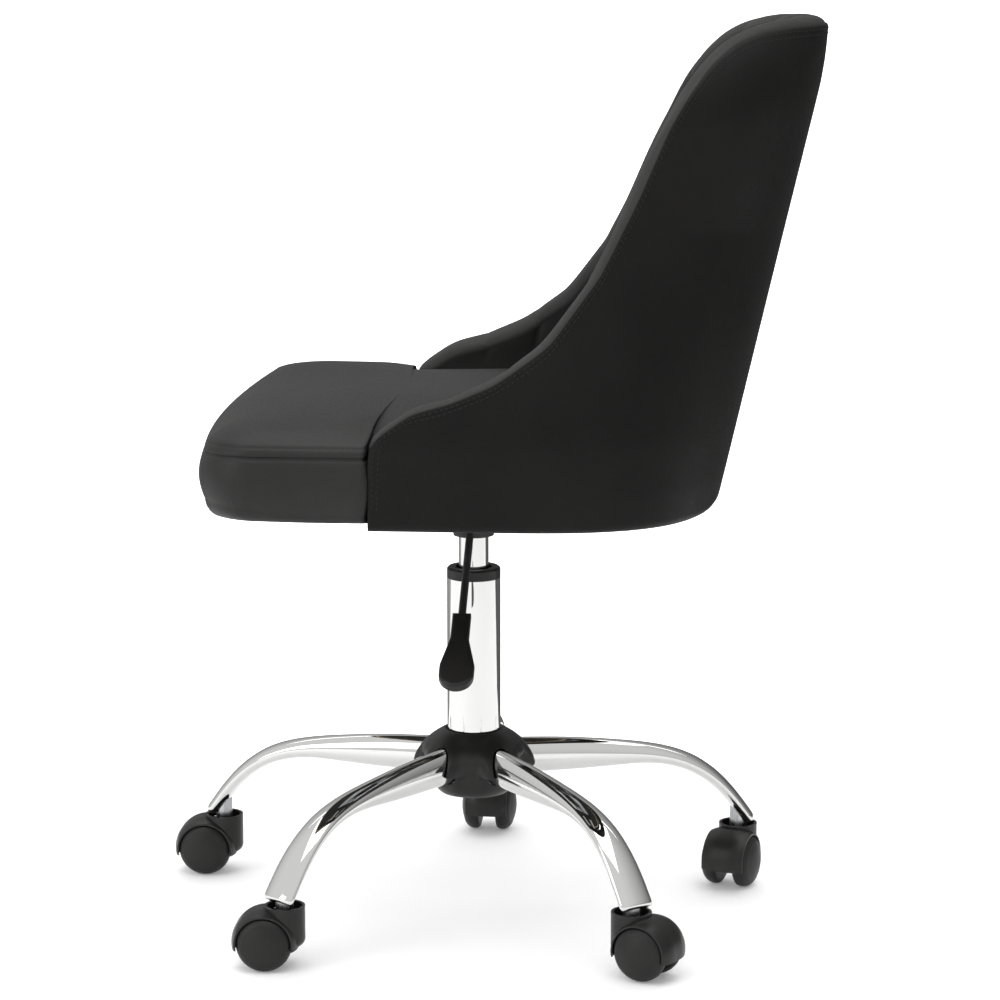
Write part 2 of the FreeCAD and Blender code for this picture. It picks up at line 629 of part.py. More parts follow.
def make_caster_body():
    """A hood over two wheels, a web between them and a cupped neck round the stem."""
    grow = size.wheel_clearance
    neck = turned("caster_neck", [
        (0, size.hood_foot), (size.neck_radius - size.neck_corner, size.hood_foot, size.neck_corner),
        (size.neck_radius, size.hood_foot + size.neck_corner), (size.neck_radius, size.neck_top),
        (size.neck_radius - size.neck_wall, size.neck_top),
        (size.neck_radius - size.neck_wall, size.cup_floor), (0, size.cup_floor),
    ])
    edge, edge_half, flat_half = size.hood_edge_radius, size.hood_edge_half, size.hood_flat_half
    hood_round = crown_radius(size.hood_radius - edge, edge_half - flat_half)
    hood = turned("caster_hood", [
        (0, -edge_half), (edge, -edge_half, hood_round), (size.hood_radius, -flat_half),
        (size.hood_radius, flat_half, hood_round), (edge, edge_half), (0, edge_half),
    ])
    hood.Placement = axle_placement(False)
    cavity = turned("wheel_cavity", wheel_outline(grow) + [(0, size.wheel_inner_face - grow)])
    cavities = [copy(f"wheel_cavity_{flip}", cavity, axle_placement(flip)) for flip in (0, 1)]
    reach = size.hood_radius * 2
    below = box("caster_below", (-reach, reach), (-reach, reach), (-reach, size.hood_foot))
    stem_hole = cylinder("stem_hole", size.stem_radius, size.stem_foot, size.cup_floor)
    cup = cylinder("cup_room", size.neck_radius - size.neck_wall, size.cup_floor, size.neck_top + OVERCUT)
    axle_hole = cross_cylinder("axle_hole", size.axle_radius, size.hood_radius, size.trail,
                               size.wheel_radius)
    block = fuse("caster_block", neck, hood)
    return cut("caster_shell", block, *cavities, below, stem_hole, cup, axle_hole)


def make_casters():
    shell = make_caster_body()
    wheel = make_wheel()
    flange_top = size.cup_floor + size.stem_flange
    stem = turned("stem", [
        (0, size.stem_foot), (size.stem_radius, size.stem_foot), (size.stem_radius, size.cup_floor),
        (size.stem_flange_radius, size.cup_floor), (size.stem_flange_radius, flange_top),
        (size.stem_radius, flange_top), (size.stem_radius, size.stem_top - size.stem_tip),
        (size.stem_radius - size.stem_tip, size.stem_top), (0, size.stem_top),
    ])
    axle = cross_cylinder("axle", size.axle_radius, size.axle_half, size.trail, size.wheel_radius)
    for number in range(1, int(mm.legs) + 1):
        angle = math.radians(leg_angle(number))
        spot = Vector(mm.stem_circle * math.cos(angle), mm.stem_circle * math.sin(angle), 0)
        caster = Placement(spot, Rotation(Vector(0, 0, 1), TRAIL_ANGLES[number - 1]))
        for label, piece, place in (
            ("caster_body", shell, Placement()), ("caster_stem", stem, Placement()),
            ("caster_axle", axle, Placement()), ("wheel_a", wheel, axle_placement(False)),
            ("wheel_b", wheel, axle_placement(True)),
        ):
            here = copy(f"{label}_place_{number}", piece, place)
            named(copy(f"{label}_{number}", here, caster), f"{label}_{number}")


# ---------------------------------------------------------------- mechanism and lever

def make_mechanism():
    """A welded channel, open at both ends, with the tapered bush that sits on the gas cylinder."""
    half = size.channel_half_width
    thick = size.sheet_thick
    inside = half - thick
    tube = box("channel_tube", (size.channel_back, size.channel_front), (-half, half),
               (size.channel_foot, size.channel_top))
    hollow = box("channel_hollow", (size.channel_back - OVERCUT, size.channel_front + OVERCUT),
                 (-inside, inside), (size.channel_foot + thick, size.channel_top - thick))
    shell = cut("channel_shell", tube, hollow)
    ears = [
        box(f"pivot_ear_{name}", (size.ear_near, size.channel_front), span,
            (size.ear_low, size.channel_top - thick))
        for name, span in (("left", (size.ear_inner, size.ear_outer)),
                           ("right", (-size.ear_outer, -size.ear_inner)))
    ]
    bush = cylinder("taper_bush", size.bush_radius, size.cylinder_shoulder, size.cylinder_top)
    frame = fuse("channel_frame", shell, bush, *ears)
    clearance = size.fit_gap * 0.4
    taper = document.addObject("Part::Cone", "taper_bore")
    bind(taper, "Radius1", size.cylinder_radius + clearance)
    bind(taper, "Radius2", size.cylinder_tip_radius + clearance)
    bind(taper, "Height", size.cylinder_top - size.cylinder_shoulder)
    bind(taper, "Placement.Base.z", size.cylinder_shoulder)
    pin_hole = cross_cylinder("pivot_hole", size.pivot_pin_radius + size.fit_gap,
                              size.pivot_pin_half + OVERCUT, size.pivot_reach, size.pivot_height)
    named(cut("mech_channel", frame, taper, pin_hole), "mech_channel")
    named(cross_cylinder("lever_pivot_pin", size.pivot_pin_radius, size.pivot_pin_half,
                         size.pivot_reach, size.pivot_height), "lever_pivot_pin")


def make_lever():
    """A cranked rod that tips on the pivot pin and presses the valve pin, with a moulded paddle."""
    body = document.addObject("PartDesign::Body", "lever_rod")
    slope = math.radians(mm.paddle_slope)
    grip_reach = size.paddle_reach + size.paddle_grip * math.cos(slope)
    grip_height = size.paddle_height - size.paddle_grip * math.sin(slope)
    path = new_sketch(body, "lever_path", "XZ_Plane")
    route = [
        (size.lever_tip, size.pivot_height), (size.crank_start, size.pivot_height),
        (size.crank_reach, size.crank_height), (grip_reach, grip_height),
    ]
    for place in range(len(route) - 1):
        start, finish = route[place], route[place + 1]
        edge = path.addGeometry(Part.LineSegment(
            Vector(value_of(start[0]), value_of(start[1]), 0),
            Vector(value_of(finish[0]), value_of(finish[1]), 0)), False)
        pin_point(path, edge, 1, *start)
        if place:
            path.addConstraint(Sketcher.Constraint("Coincident", edge - 1, 2, edge, 1))
    pin_point(path, len(route) - 2, 2, *route[-1])
    section = new_sketch(body, "lever_section", "YZ_Plane", size.lever_tip)
    circle_outline(section, 0, size.pivot_height, size.lever_radius)
    pipe = body.newObject("PartDesign::AdditivePipe", "lever_pipe")
    pipe.Profile = section
    pipe.Spine = path
    pipe.Transition = "Round corner"
    tube = new_sketch(body, "pivot_tube_section", "XZ_Plane")
    circle_outline(tube, size.pivot_reach, size.pivot_height, size.pivot_tube_radius)
    boss = body.newObject("PartDesign::Pad", "pivot_tube")
    boss.Profile = tube
    boss.Midplane = True
    bind(boss, "Length", size.pivot_tube_half * 2)
    hole = new_sketch(body, "pivot_bore_section", "XZ_Plane")
    circle_outline(hole, size.pivot_reach, size.pivot_height, size.pivot_pin_radius + size.fit_gap)
    bore = body.newObject("PartDesign::Pocket", "pivot_bore")
    bore.Profile = hole
    bore.Type = "ThroughAll"
    bore.Midplane = True
    named(body, "lever_rod")

    neck, half = size.paddle_neck_half, size.paddle_half
    end = size.paddle_length - half
    paddle = padded("paddle_blank", [
        (0, -neck), (size.paddle_neck, -neck), (size.paddle_swell, -half), (end, -half, half),
        (end, half), (size.paddle_swell, half), (size.paddle_neck, neck), (0, neck),
    ], -size.paddle_thick * 0.5, size.paddle_thick * 0.5)
    pad = document.getObject("paddle_blank_pad")
    fillet_level(paddle, pad, size.paddle_thick * 0.5, size.paddle_edge)
    upper = document.getObject(f"paddle_blank_round_{int(mm.paddle_thick / 2)}")
    fillet_level(paddle, upper, -size.paddle_thick * 0.5, size.paddle_edge)
    bore = document.addObject("Part::Cylinder", "paddle_bore")
    bore.Placement = Placement(Vector(-OVERCUT, 0, 0), Rotation(Vector(0, 1, 0), 90))
    bind(bore, "Radius", size.lever_radius)
    bind(bore, "Height", size.paddle_grip + OVERCUT)
    blank = cut("paddle_bored", paddle, bore)
    tilt = Rotation(Vector(0, 1, 0), mm.paddle_slope)
    spot = Placement(Vector(mm.paddle_reach, 0, mm.paddle_height), tilt)
    named(copy("lever_paddle", blank, spot), "lever_paddle")


# ---------------------------------------------------------------- seat

def bolt_places():
    return [(across, along) for across in (-size.bolt_across, size.bolt_across)
            for along in (size.bolt_front, size.bolt_back)]


def cushion_outline(inset):
    """The cushion in plan: a rounded front, full width ahead of the wings and narrower between them."""
    side = size.cushion_half_width - inset
    tail = size.tail_half_width - inset
    corner_y = size.corner_front + inset
    corner_across = size.tail_corner_across - inset * 0.55
    corner = size.tail_corner - inset * 0.84
    return [
        (-size.corner_across, corner_y, size.front_round), (size.corner_across, corner_y,
                                                             size.corner_round),
        (side, size.corner_side), (side, size.notch - inset), (tail, size.notch - inset),
        (tail, size.tail_start, size.tail_round), (corner_across, corner, size.tail_back_round),
        (-corner_across, corner, size.tail_round), (-tail, size.tail_start), (-tail, size.notch - inset),
        (-side, size.notch - inset), (-side, size.corner_side, size.corner_round),
    ]


def make_seat():
    plate_top = size.channel_top + size.sheet_thick
    half = size.plate_half_width
    round_in = size.plate_corner
    holes = [(x, y, size.bolt_hole) for x, y in bolt_places()]
    named(padded("seat_plate", [
        (-half + round_in, size.plate_front), (half - round_in, size.plate_front, round_in),
        (half, size.plate_front + round_in), (half, size.plate_back - round_in, round_in),
        (half - round_in, size.plate_back), (-half + round_in, size.plate_back, round_in),
        (-half, size.plate_back - round_in), (-half, size.plate_front + round_in, round_in),
    ], size.channel_top, plate_top, holes), "seat_plate")
    inset = size.cover_thick + size.foam_gap
    board_edge = inset + size.board_inset
    board_holes = [(x, y, size.nut_radius) for x, y in bolt_places()]
    board_holes += [(x, y, size.screw_radius + size.fit_gap)
                    for x, y in screw_places(size.cleat_inner + size.screw_inset)]
    named(padded("dust_cover", cushion_outline(board_edge + size.dust_inset), size.dust_foot,
                 size.dust_foot + size.dust_thick, board_holes), "dust_cover")
    named(padded("seat_board", cushion_outline(board_edge), size.board_foot, size.board_top, board_holes),
          "seat_board")
    foam = padded("seat_foam", cushion_outline(inset), size.foam_foot, size.cushion_top - inset)
    fillet_level(foam, document.getObject("seat_foam_pad"), size.cushion_top - inset,
                 size.cushion_edge - inset)
    named(foam, "seat_foam")
    cover = padded("cover_block", cushion_outline(0), size.cushion_foot, size.cushion_top)
    fillet_level(cover, document.getObject("cover_block_pad"), size.cushion_top, size.cushion_edge)
    hollow = padded("cover_hollow", cushion_outline(size.cover_thick), size.cushion_foot,
                    size.cushion_top - size.cover_thick)
    fillet_level(hollow, document.getObject("cover_hollow_pad"), size.cushion_top - size.cover_thick,
                 size.cushion_edge - size.cover_thick)
    named(cut("seat_cover", cover, hollow), "seat_cover")


def screw(name, radius, head_radius, head_height, head_top, tip):
    """A fastener pointing up: its head ends at head_top and its shank at tip."""
    head = cylinder(name + "_head", head_radius, head_top - head_height, head_top)
    shank = cylinder(name + "_shank", radius, head_top, tip)
    return fuse(name, head, shank)


def make_fasteners():
    """Plate bolts with their tee nuts in the board, and the screws of the four shell cleats."""
    parts = []
    hex_head = document.addObject("Part::Prism", "bolt_hex")
    bind(hex_head, "Circumradius", size.bolt_head_radius)
    bind(hex_head, "Height", size.bolt_head)
    bind(hex_head, "Placement.Base.z", size.channel_top - size.bolt_head)
    shank = cylinder("bolt_shank", size.bolt_radius, size.channel_top, size.bolt_top)
    bolt = fuse("plate_bolt", hex_head, shank)
    bore, barrel = size.bolt_radius + size.fit_gap, size.nut_radius - size.fit_gap
    nut_top = size.board_top + size.nut_flange
    nut = turned("tee_nut", [
        (bore, size.board_foot), (barrel, size.board_foot), (barrel, size.board_top),
        (size.nut_flange_radius, size.board_top), (size.nut_flange_radius, nut_top), (bore, nut_top),
    ])
    for number, (x, y) in enumerate(bolt_places(), start=1):
        spot = Placement(Vector(value_of(x), value_of(y), 0), Rotation())
        parts.append(copy(f"plate_bolt_{number}", bolt, spot))
        parts.append(copy(f"tee_nut_{number}", nut, spot))
    wood_screw = screw("cleat_screw", size.screw_radius, size.screw_head_radius, size.screw_head,
                       size.cleat_foot, size.cleat_foot + size.screw_length)
    for number, (x, y) in enumerate(all_screw_places(), start=1):
        spot = Placement(Vector(value_of(x), value_of(y), 0), Rotation())
        parts.append(copy(f"cleat_screw_{number}", wood_screw, spot))
    named(group("seat_fasteners", parts), "seat_fasteners")


def cleat_places():
    """(side, low y) of the four cleats that tie the tub to the seat board."""
    return [(side, along) for side in (-1, 1) for along in (size.cleat_front_place, size.cleat_back_place)]


def screw_places(reach):
    """The cleat screws at one distance from the middle plane, one in each cleat."""
    return [(reach * side, along + size.cleat_width * 0.5) for side, along in cleat_places()]


def all_screw_places():
    inner = screw_places(size.cleat_inner + size.screw_inset)
    return inner + screw_places(size.cleat_outer - size.screw_inset)


def make_cleats():
    """Flat steel cleats under the board and the tub's base rail."""
    cleats = []
    top = size.cleat_foot + size.cleat_thick
    for number, (side, along) in enumerate(cleat_places(), start=1):
        span = (size.cleat_inner, size.cleat_outer) if side > 0 else (-size.cleat_outer, -size.cleat_inner)
        blank = box(f"cleat_blank_{number}", span, (along, along + size.cleat_width), (size.cleat_foot, top))
        holes = [
            cylinder(f"cleat_hole_{number}_{index}", size.screw_radius + size.fit_gap,
                     size.cleat_foot - OVERCUT, top + OVERCUT, x, y)
            for index, (x, y) in enumerate(all_screw_places()[number - 1::len(cleat_places())], start=1)
        ]
        cleats.append(cut(f"cleat_{number}", blank, *holes))
    return named(group("shell_cleats", cleats), "shell_cleats")


# ---------------------------------------------------------------- tub back

def tub_half_width(height):
    """Half the tub's width: parallel up to the wings, then drawing in, with rounded top corners."""
    share = min(max((height - mm.taper_start) / mm.taper_rise, 0), 1)
    pinch = min(max((height - mm.pinch_start) / mm.pinch_rise, 0), 1)
    width = mm.tub_half_width - mm.top_narrowing * math.sin(share * math.pi / 2) ** mm.taper_power
    return width - mm.top_pinch * pinch ** 2


def tub_rear(height):
    """How far back the tub's outer face is on the middle plane: a straight lean that curls in at the top."""
    lean = mm.back_lean * (height - mm.lean_base) / mm.lean_rise
    curl = max((height - mm.curl_start) / mm.curl_rise, 0)
    return mm.back_foot + lean - mm.back_curl * curl ** 2


# Heights of the plan sections the tub is lofted through, and how far forward they run.
TUB_LEVELS = (385, 415, 445, 475, 505, 535, 565, 595, 625, 655, 685, 715, 745, 770, 795, 820, 845)
TUB_FRONT = -130
PLAN_STEPS = 24
# How much further a block stands out at the front, foot and top for each millimetre it is inset.
NESTING = 0.2


def tub_squareness(height):
    """The exponent of the plan curve: squarish at the foot, close to an ellipse (2) higher up."""
    share = min(max((height - mm.square_start) / mm.square_rise, 0), 1)
    return mm.square_foot + (mm.square_top - mm.square_foot) * share


def tub_section(height, inset):
    """A plan section: a squarish half oval round the back and straight sides forward."""
    front = TUB_FRONT - inset * NESTING
    across, depth = tub_half_width(height) - inset, mm.tub_depth - inset
    power = tub_squareness(height)
    points = []
    for number in range(PLAN_STEPS + 1):
        turn = math.pi * number / PLAN_STEPS
        cosine, sine = math.cos(turn), math.sin(turn)
        reach = (abs(cosine) ** power + abs(sine) ** power) ** (-1 / power)
        middle = tub_rear(height) - mm.tub_depth
        points.append(Vector(across * reach * cosine, middle + depth * reach * sine, height))
    curve = Part.BSplineCurve()
    curve.interpolate(points, Parameters=[number / PLAN_STEPS for number in range(PLAN_STEPS + 1)])
    right, left = points[0], points[-1]
    right_front = Vector(right.x, front, height)
    left_front = Vector(left.x, front, height)
    return Part.Wire([
        Part.LineSegment(right_front, right).toShape(), curve.toShape(),
        Part.LineSegment(left, left_front).toShape(), Part.LineSegment(left_front, right_front).toShape(),
    ])


def tub_block(inset):
    """The solid inside the tub's outer face, moved in by inset. A smaller block stands out further at the
    front, foot and top, so that it cuts a larger one cleanly."""
    lowest, *between, highest = TUB_LEVELS
    levels = [lowest - inset * NESTING, *between, highest + inset * NESTING]
    return Part.makeLoft([tub_section(height, inset) for height in levels], True)


# The rim seen from the side, as (y, z): back along the wing's sweep, up the back and over to its top.
RIM_SWEEP = ((-63, 483), (-33, 504), (0, 513), (37, 529), (83, 562), (127, 622), (159, 688), (184, 748),
             (200, 776), (219, 802), (240, 819), (261, 827), (285, 830))
# The wing's front edge is upright to the first point, then rounds back through the second.
WING_KNEE = ((-73, 456), (-71, 470.5))


def corner_arc(start, corner, finish):
    """A quarter round from start to finish, inside the corner."""
    turn = math.sqrt(0.5)
    centre = start + finish - corner
    return Part.Arc(start, centre + (corner - centre) * turn, finish).toShape()


def drawn_in(points, inset):
    """A line of points in the side view, each moved square to the line, down and back, by inset."""
    moved = []
    for place, point in enumerate(points):
        along = points[min(place + 1, len(points) - 1)] - points[max(place - 1, 0)]
        moved.append(point + Vector(0, along.z, -along.y).normalize() * inset)
    return moved


def side_profile(inset):
    """The tub's side view as a face on the middle plane, drawn in by inset all round."""
    rim = drawn_in([Vector(0, y, z) for y, z in WING_KNEE + RIM_SWEEP], inset)
    knee_low, knee_middle, *sweep = rim
    knee_low.y = WING_KNEE[0][0] + inset
    foot, top = mm.tub_foot + inset, mm.tub_top - inset
    front = Vector(0, knee_low.y, foot)
    curve = Part.BSplineCurve()
    curve.interpolate(sweep)
    top_corner = Vector(0, tub_rear(top) - inset, top)
    rear_top = top_corner - Vector(0, mm.rear_corner, 0)
    rear_side = top_corner - Vector(0, 0, mm.rear_corner)
    heel = Vector(0, tub_rear(foot + mm.heel_corner) - inset, foot + mm.heel_corner)
    heel_corner = heel - Vector(0, 0, mm.heel_corner)
    heel_foot = heel_corner - Vector(0, mm.heel_corner, 0)
    beyond = Vector(0, mm.tub_wall, 0)
    edges = [
        Part.LineSegment(front, knee_low).toShape(), Part.Arc(knee_low, knee_middle, sweep[0]).toShape(),
        curve.toShape(), Part.LineSegment(sweep[-1], rear_top).toShape(),
        corner_arc(rear_top, top_corner, rear_side),
        Part.LineSegment(rear_side, rear_side + beyond).toShape(),
        Part.LineSegment(rear_side + beyond, heel + beyond).toShape(),
        Part.LineSegment(heel + beyond, heel).toShape(), corner_arc(heel, heel_corner, heel_foot),
        Part.LineSegment(heel_foot, front).toShape(),
    ]
    return Part.Face(Part.Wire(edges))


def side_prism(inset):
    reach = mm.tub_half_width + OVERCUT
    face = side_profile(inset)
    face.translate(Vector(-reach, 0, 0))
    return face.extrude(Vector(reach * 2, 0, 0))


def slab(low, high):
    """Everything between two heights."""
    reach = mm.tub_depth * 2
    return Part.makeBox(reach * 2, reach * 2, high - low, Vector(-reach, -reach, low))


def make_tub(cleats):
    """Outer cover, bent frame with its base rail, foam and inner cover, nested inside one another."""
    skin = mm.skin_thick
    inner = mm.tub_wall
    blocks = {inset: tub_block(inset) for inset in (0, skin, mm.frame_depth, inner - skin, inner)}
    whole = side_prism(0)
    core = side_prism(skin)
    named(shaped("back_outer_cover", blocks[0].common(whole).cut(blocks[skin])), "back_outer_cover")
    filling = blocks[skin].common(core).cut(blocks[inner - skin])
    lining = blocks[skin].common(whole).cut(blocks[inner]).cut(filling)
    document.recompute()
    slots = [solid.BoundBox for solid in cleats.Shape.Solids]
    clear = mm.foam_gap
    for slot in slots:
        corner = Vector(slot.XMin - clear, slot.YMin - clear, mm.tub_foot - OVERCUT)
        room = Part.makeBox(slot.XLength + 2 * clear, slot.YLength + 2 * clear,
                            slot.ZMax + clear - corner.z, corner)
        lining = lining.cut(room)
        filling = filling.cut(room)
    named(shaped("back_inner_cover", lining), "back_inner_cover")
    panel = filling.cut(blocks[mm.frame_depth])
    padding = filling.common(blocks[mm.frame_depth])
    rail = padding.common(slab(mm.rail_foot, mm.rail_top))
    foam = padding.cut(slab(mm.tub_foot - OVERCUT, mm.rail_top + mm.foam_gap))
    for x, y in screw_places(size.cleat_outer - size.screw_inset):
        foot = Vector(value_of(x), value_of(y), mm.cleat_foot)
        hole = Part.makeCylinder(mm.screw_radius + mm.fit_gap, mm.screw_length, foot)
        rail = rail.cut(hole)
    named(shaped("back_frame", Part.makeCompound([panel, rail])), "back_frame")
    named(shaped("back_foam", foam), "back_foam")


# ---------------------------------------------------------------- build, check and write

make_column()
make_rod(make_bearing())
make_cylinder()
make_hub_cover()
make_legs()
make_casters()
make_mechanism()
make_lever()
make_seat()
make_fasteners()
make_tub(make_cleats())
document.recompute()

for thing in document.Objects:
    state = " ".join(thing.State)
    assert "Invalid" not in state and "Error" not in state, f"{thing.Name} failed: {state}"

os.makedirs("parts", exist_ok=True)
for label, thing in nodes.items():
    shape = thing.Shape
    assert not shape.isNull() and shape.isValid(), f"{label} has no valid shape"
    assert shape.Solids, f"{label} holds no solid"
    shape.exportStep(f"parts/{label}.step")
print(len(nodes), "nodes")
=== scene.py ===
import json
import math

import bmesh
import bpy
import numpy as np
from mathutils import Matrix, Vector, kdtree, noise


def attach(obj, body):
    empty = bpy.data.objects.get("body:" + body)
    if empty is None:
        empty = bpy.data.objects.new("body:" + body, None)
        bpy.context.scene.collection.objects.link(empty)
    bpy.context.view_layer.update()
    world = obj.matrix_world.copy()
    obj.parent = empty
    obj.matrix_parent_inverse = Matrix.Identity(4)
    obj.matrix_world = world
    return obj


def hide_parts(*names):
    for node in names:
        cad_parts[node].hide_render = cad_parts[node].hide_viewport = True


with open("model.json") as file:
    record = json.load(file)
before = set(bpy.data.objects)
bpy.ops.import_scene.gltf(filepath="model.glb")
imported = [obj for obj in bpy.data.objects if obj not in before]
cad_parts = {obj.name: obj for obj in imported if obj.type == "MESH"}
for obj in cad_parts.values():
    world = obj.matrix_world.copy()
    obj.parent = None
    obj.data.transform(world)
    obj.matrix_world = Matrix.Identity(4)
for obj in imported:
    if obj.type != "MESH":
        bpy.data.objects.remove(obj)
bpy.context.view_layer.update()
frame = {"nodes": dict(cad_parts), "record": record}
nodes = frame["nodes"]
LEGS = 5
MM = 0.001


# ---------------------------------------------------------------- mesh helpers

def mesh_object(name, points, faces, smooth=True):
    mesh = bpy.data.meshes.new(name)
    mesh.from_pydata([tuple(p) for p in points], [], [tuple(f) for f in faces])
    mesh.validate()
    obj = bpy.data.objects.new(name, mesh)
    bpy.context.collection.objects.link(obj)
    tidy = bmesh.new()
    tidy.from_mesh(mesh)
    bmesh.ops.remove_doubles(tidy, verts=tidy.verts, dist=1e-6)
    bmesh.ops.recalc_face_normals(tidy, faces=tidy.faces)
    tidy.to_mesh(mesh)
    tidy.free()
    mesh.polygons.foreach_set("use_smooth", [smooth] * len(mesh.polygons))
    return obj


def grid_faces(rows, columns, wrap_rows=False, wrap_columns=False, first=0):
    """Quads of a grid of points stored row by row."""
    faces = []
    for i in range(rows if wrap_rows else rows - 1):
        for j in range(columns if wrap_columns else columns - 1):
            a, b = i * columns + j, i * columns + (j + 1) % columns
            c, d = ((i + 1) % rows) * columns + (j + 1) % columns, ((i + 1) % rows) * columns + j
            faces.append((first + a, first + b, first + c, first + d))
    return faces


def ring_stack(name, rings, smooth=True):
    """A closed skin over a stack of closed rings, each of the same number of points; ends are capped."""
    count = len(rings[0])
    points = [p for ring in rings for p in ring]
    faces = grid_faces(len(rings), count, wrap_columns=True)
    for ring in (0, len(rings) - 1):
        centre = len(points)
        points.append(tuple(np.mean(np.array(rings[ring]), axis=0)))
        for j in range(count):
            faces.append((ring * count + j, ring * count + (j + 1) % count, centre))
    return mesh_object(name, points, faces, smooth)


def smoothstep(value, low, high):
    share = np.clip((value - low) / (high - low), 0, 1)
    return share * share * (3 - 2 * share)


def soft_noise(point, scale, seed=0.0):
    return noise.noise(Vector(point) * scale + Vector((seed, seed * 1.7, seed * 0.3)))


def wires(name, paths, radius, sides=6):
    """One mesh of thin closed capsules, each along its own short path of points."""
    points, faces = [], []
    for path in paths:
        path = [np.array(p, float) for p in path]
        first = len(points)
        for place, point in enumerate(path):
            along = path[min(place + 1, len(path) - 1)] - path[max(place - 1, 0)]
            along /= np.linalg.norm(along)
            side = np.cross(along, (0.31, 0.23, 0.92))
            side /= np.linalg.norm(side)
            up = np.cross(along, side)
            size = radius * (0.45 if place in (0, len(path) - 1) else 1)
            for k in range(sides):
                turn = 2 * math.pi * k / sides
                points.append(point + (side * math.cos(turn) + up * math.sin(turn)) * size)
        faces += grid_faces(len(path), sides, wrap_columns=True, first=first)
        faces.append(tuple(first + k for k in range(sides))[::-1])
        faces.append(tuple(first + (len(path) - 1) * sides + k for k in range(sides)))
    return mesh_object(name, points, faces)


def resampled(path, step):
    """Evenly spaced points along a path, about a step apart."""
    path = np.array(path, float)
    lengths = np.concatenate([[0], np.cumsum(np.linalg.norm(np.diff(path, axis=0), axis=1))])
    count = max(int(lengths[-1] / step), 2)
    places = (np.arange(count) + 0.5) * lengths[-1] / count
    return np.stack([np.interp(places, lengths, path[:, k]) for k in range(3)], axis=1)


def stitch_paths(path, pitch=0.005, length=0.0038, steps=6):
    """Short raised stitches end to end along a path, one in each pitch of so many steps."""
    fine = resampled(path, pitch / steps)
    points = max(round(steps * length / pitch), 3)
    return [fine[start:start + points] for start in range(0, len(fine) - steps, steps)]


# ---------------------------------------------------------------- materials

def material(name, base, roughness, metallic=0.0, **sockets):
    """A node material, its tree and its shader; other sockets are set by name."""
    made = bpy.data.materials.new(name)
    made.use_nodes = True
    tree = made.node_tree
    shader = tree.nodes["Principled BSDF"]
    shader.inputs["Base Color"].default_value = (*base, 1)
    shader.inputs["Roughness"].default_value = roughness
    shader.inputs["Metallic"].default_value = metallic
    for socket, value in sockets.items():
        shader.inputs[socket.replace("_", " ")].default_value = value
    return made, tree, shader


def object_noise(tree, scale, detail=3.0, rough=0.5, stretch=None):
    """Noise over the piece's own coordinates, and those coordinates for other textures."""
    place = tree.nodes.new("ShaderNodeTexCoord")
    source = place.outputs["Object"]
    if stretch:
        mapping = tree.nodes.new("ShaderNodeMapping")
        mapping.inputs["Scale"].default_value = stretch
        tree.links.new(source, mapping.inputs["Vector"])
        source = mapping.outputs["Vector"]
    texture = tree.nodes.new("ShaderNodeTexNoise")
    texture.inputs["Scale"].default_value = scale
    texture.inputs["Detail"].default_value = detail
    texture.inputs["Roughness"].default_value = rough
    tree.links.new(source, texture.inputs["Vector"])
    return texture.outputs["Fac"], source


def ramp(tree, source, low, high, out_low, out_high):
    """The source's range from low to high spread from out_low to out_high."""
    ranged = tree.nodes.new("ShaderNodeMapRange")
    ranged.inputs["From Min"].default_value = low
    ranged.inputs["From Max"].default_value = high
    ranged.inputs["To Min"].default_value = out_low
    ranged.inputs["To Max"].default_value = out_high
    tree.links.new(source, ranged.inputs["Value"])
    return ranged.outputs["Result"]


def tint(tree, shader, source, dark, light, low=0.3, high=0.7):
    """Base colour between dark and light as the source varies."""
    colours = tree.nodes.new("ShaderNodeValToRGB")
    colours.color_ramp.elements[0].position = low
    colours.color_ramp.elements[1].position = high
    colours.color_ramp.elements[0].color = (*dark, 1)
    colours.color_ramp.elements[1].color = (*light, 1)
    tree.links.new(source, colours.inputs["Fac"])
    tree.links.new(colours.outputs["Color"], shader.inputs["Base Color"])


def bump(tree, shader, heights):
    """Chained bumps, each (height output, distance in metres, strength)."""
    normal = None
    for height, distance, strength in heights:
        bumped = tree.nodes.new("ShaderNodeBump")
        bumped.inputs["Distance"].default_value = distance
        bumped.inputs["Strength"].default_value = strength
        tree.links.new(height, bumped.inputs["Height"])
        if normal:
            tree.links.new(normal, bumped.inputs["Normal"])
        normal = bumped.outputs["Normal"]
    tree.links.new(normal, shader.inputs["Normal"])


def make_leather(name, dark, light, shine=0.11):
    """Leather with a fine pebbled grain and broad, faint unevenness."""
    made, tree, shader = material(name, light, 0.4, Specular_IOR_Level=shine)
    large, source = object_noise(tree, 9, 2)
    fine, _ = object_noise(tree, 420, 4, 0.6)
    cells = tree.nodes.new("ShaderNodeTexVoronoi")
    cells.feature = "DISTANCE_TO_EDGE"
    cells.inputs["Scale"].default_value = 620
    tree.links.new(source, cells.inputs["Vector"])
    grain = ramp(tree, cells.outputs["Distance"], 0.0, 0.22, 0, 1)
    tint(tree, shader, large, dark, light)
    tree.links.new(ramp(tree, fine, 0.3, 0.7, 0.4, 0.5), shader.inputs["Roughness"])
    bump(tree, shader, [(grain, 0.00012, 0.35), (fine, 0.00018, 0.3), (large, 0.002, 0.12)])
    return made


def make_chrome():
    """Polished chrome with faint smudges and slow waves."""
    made, tree, shader = material("bright_chrome", (0.66, 0.66, 0.65), 0.035, 1.0)
    smudge, _ = object_noise(tree, 14, 4, 0.6)
    tree.links.new(ramp(tree, smudge, 0.35, 0.75, 0.025, 0.07), shader.inputs["Roughness"])
    waves, _ = object_noise(tree, 22, 1)
    bump(tree, shader, [(waves, 0.0008, 0.05)])
    return made


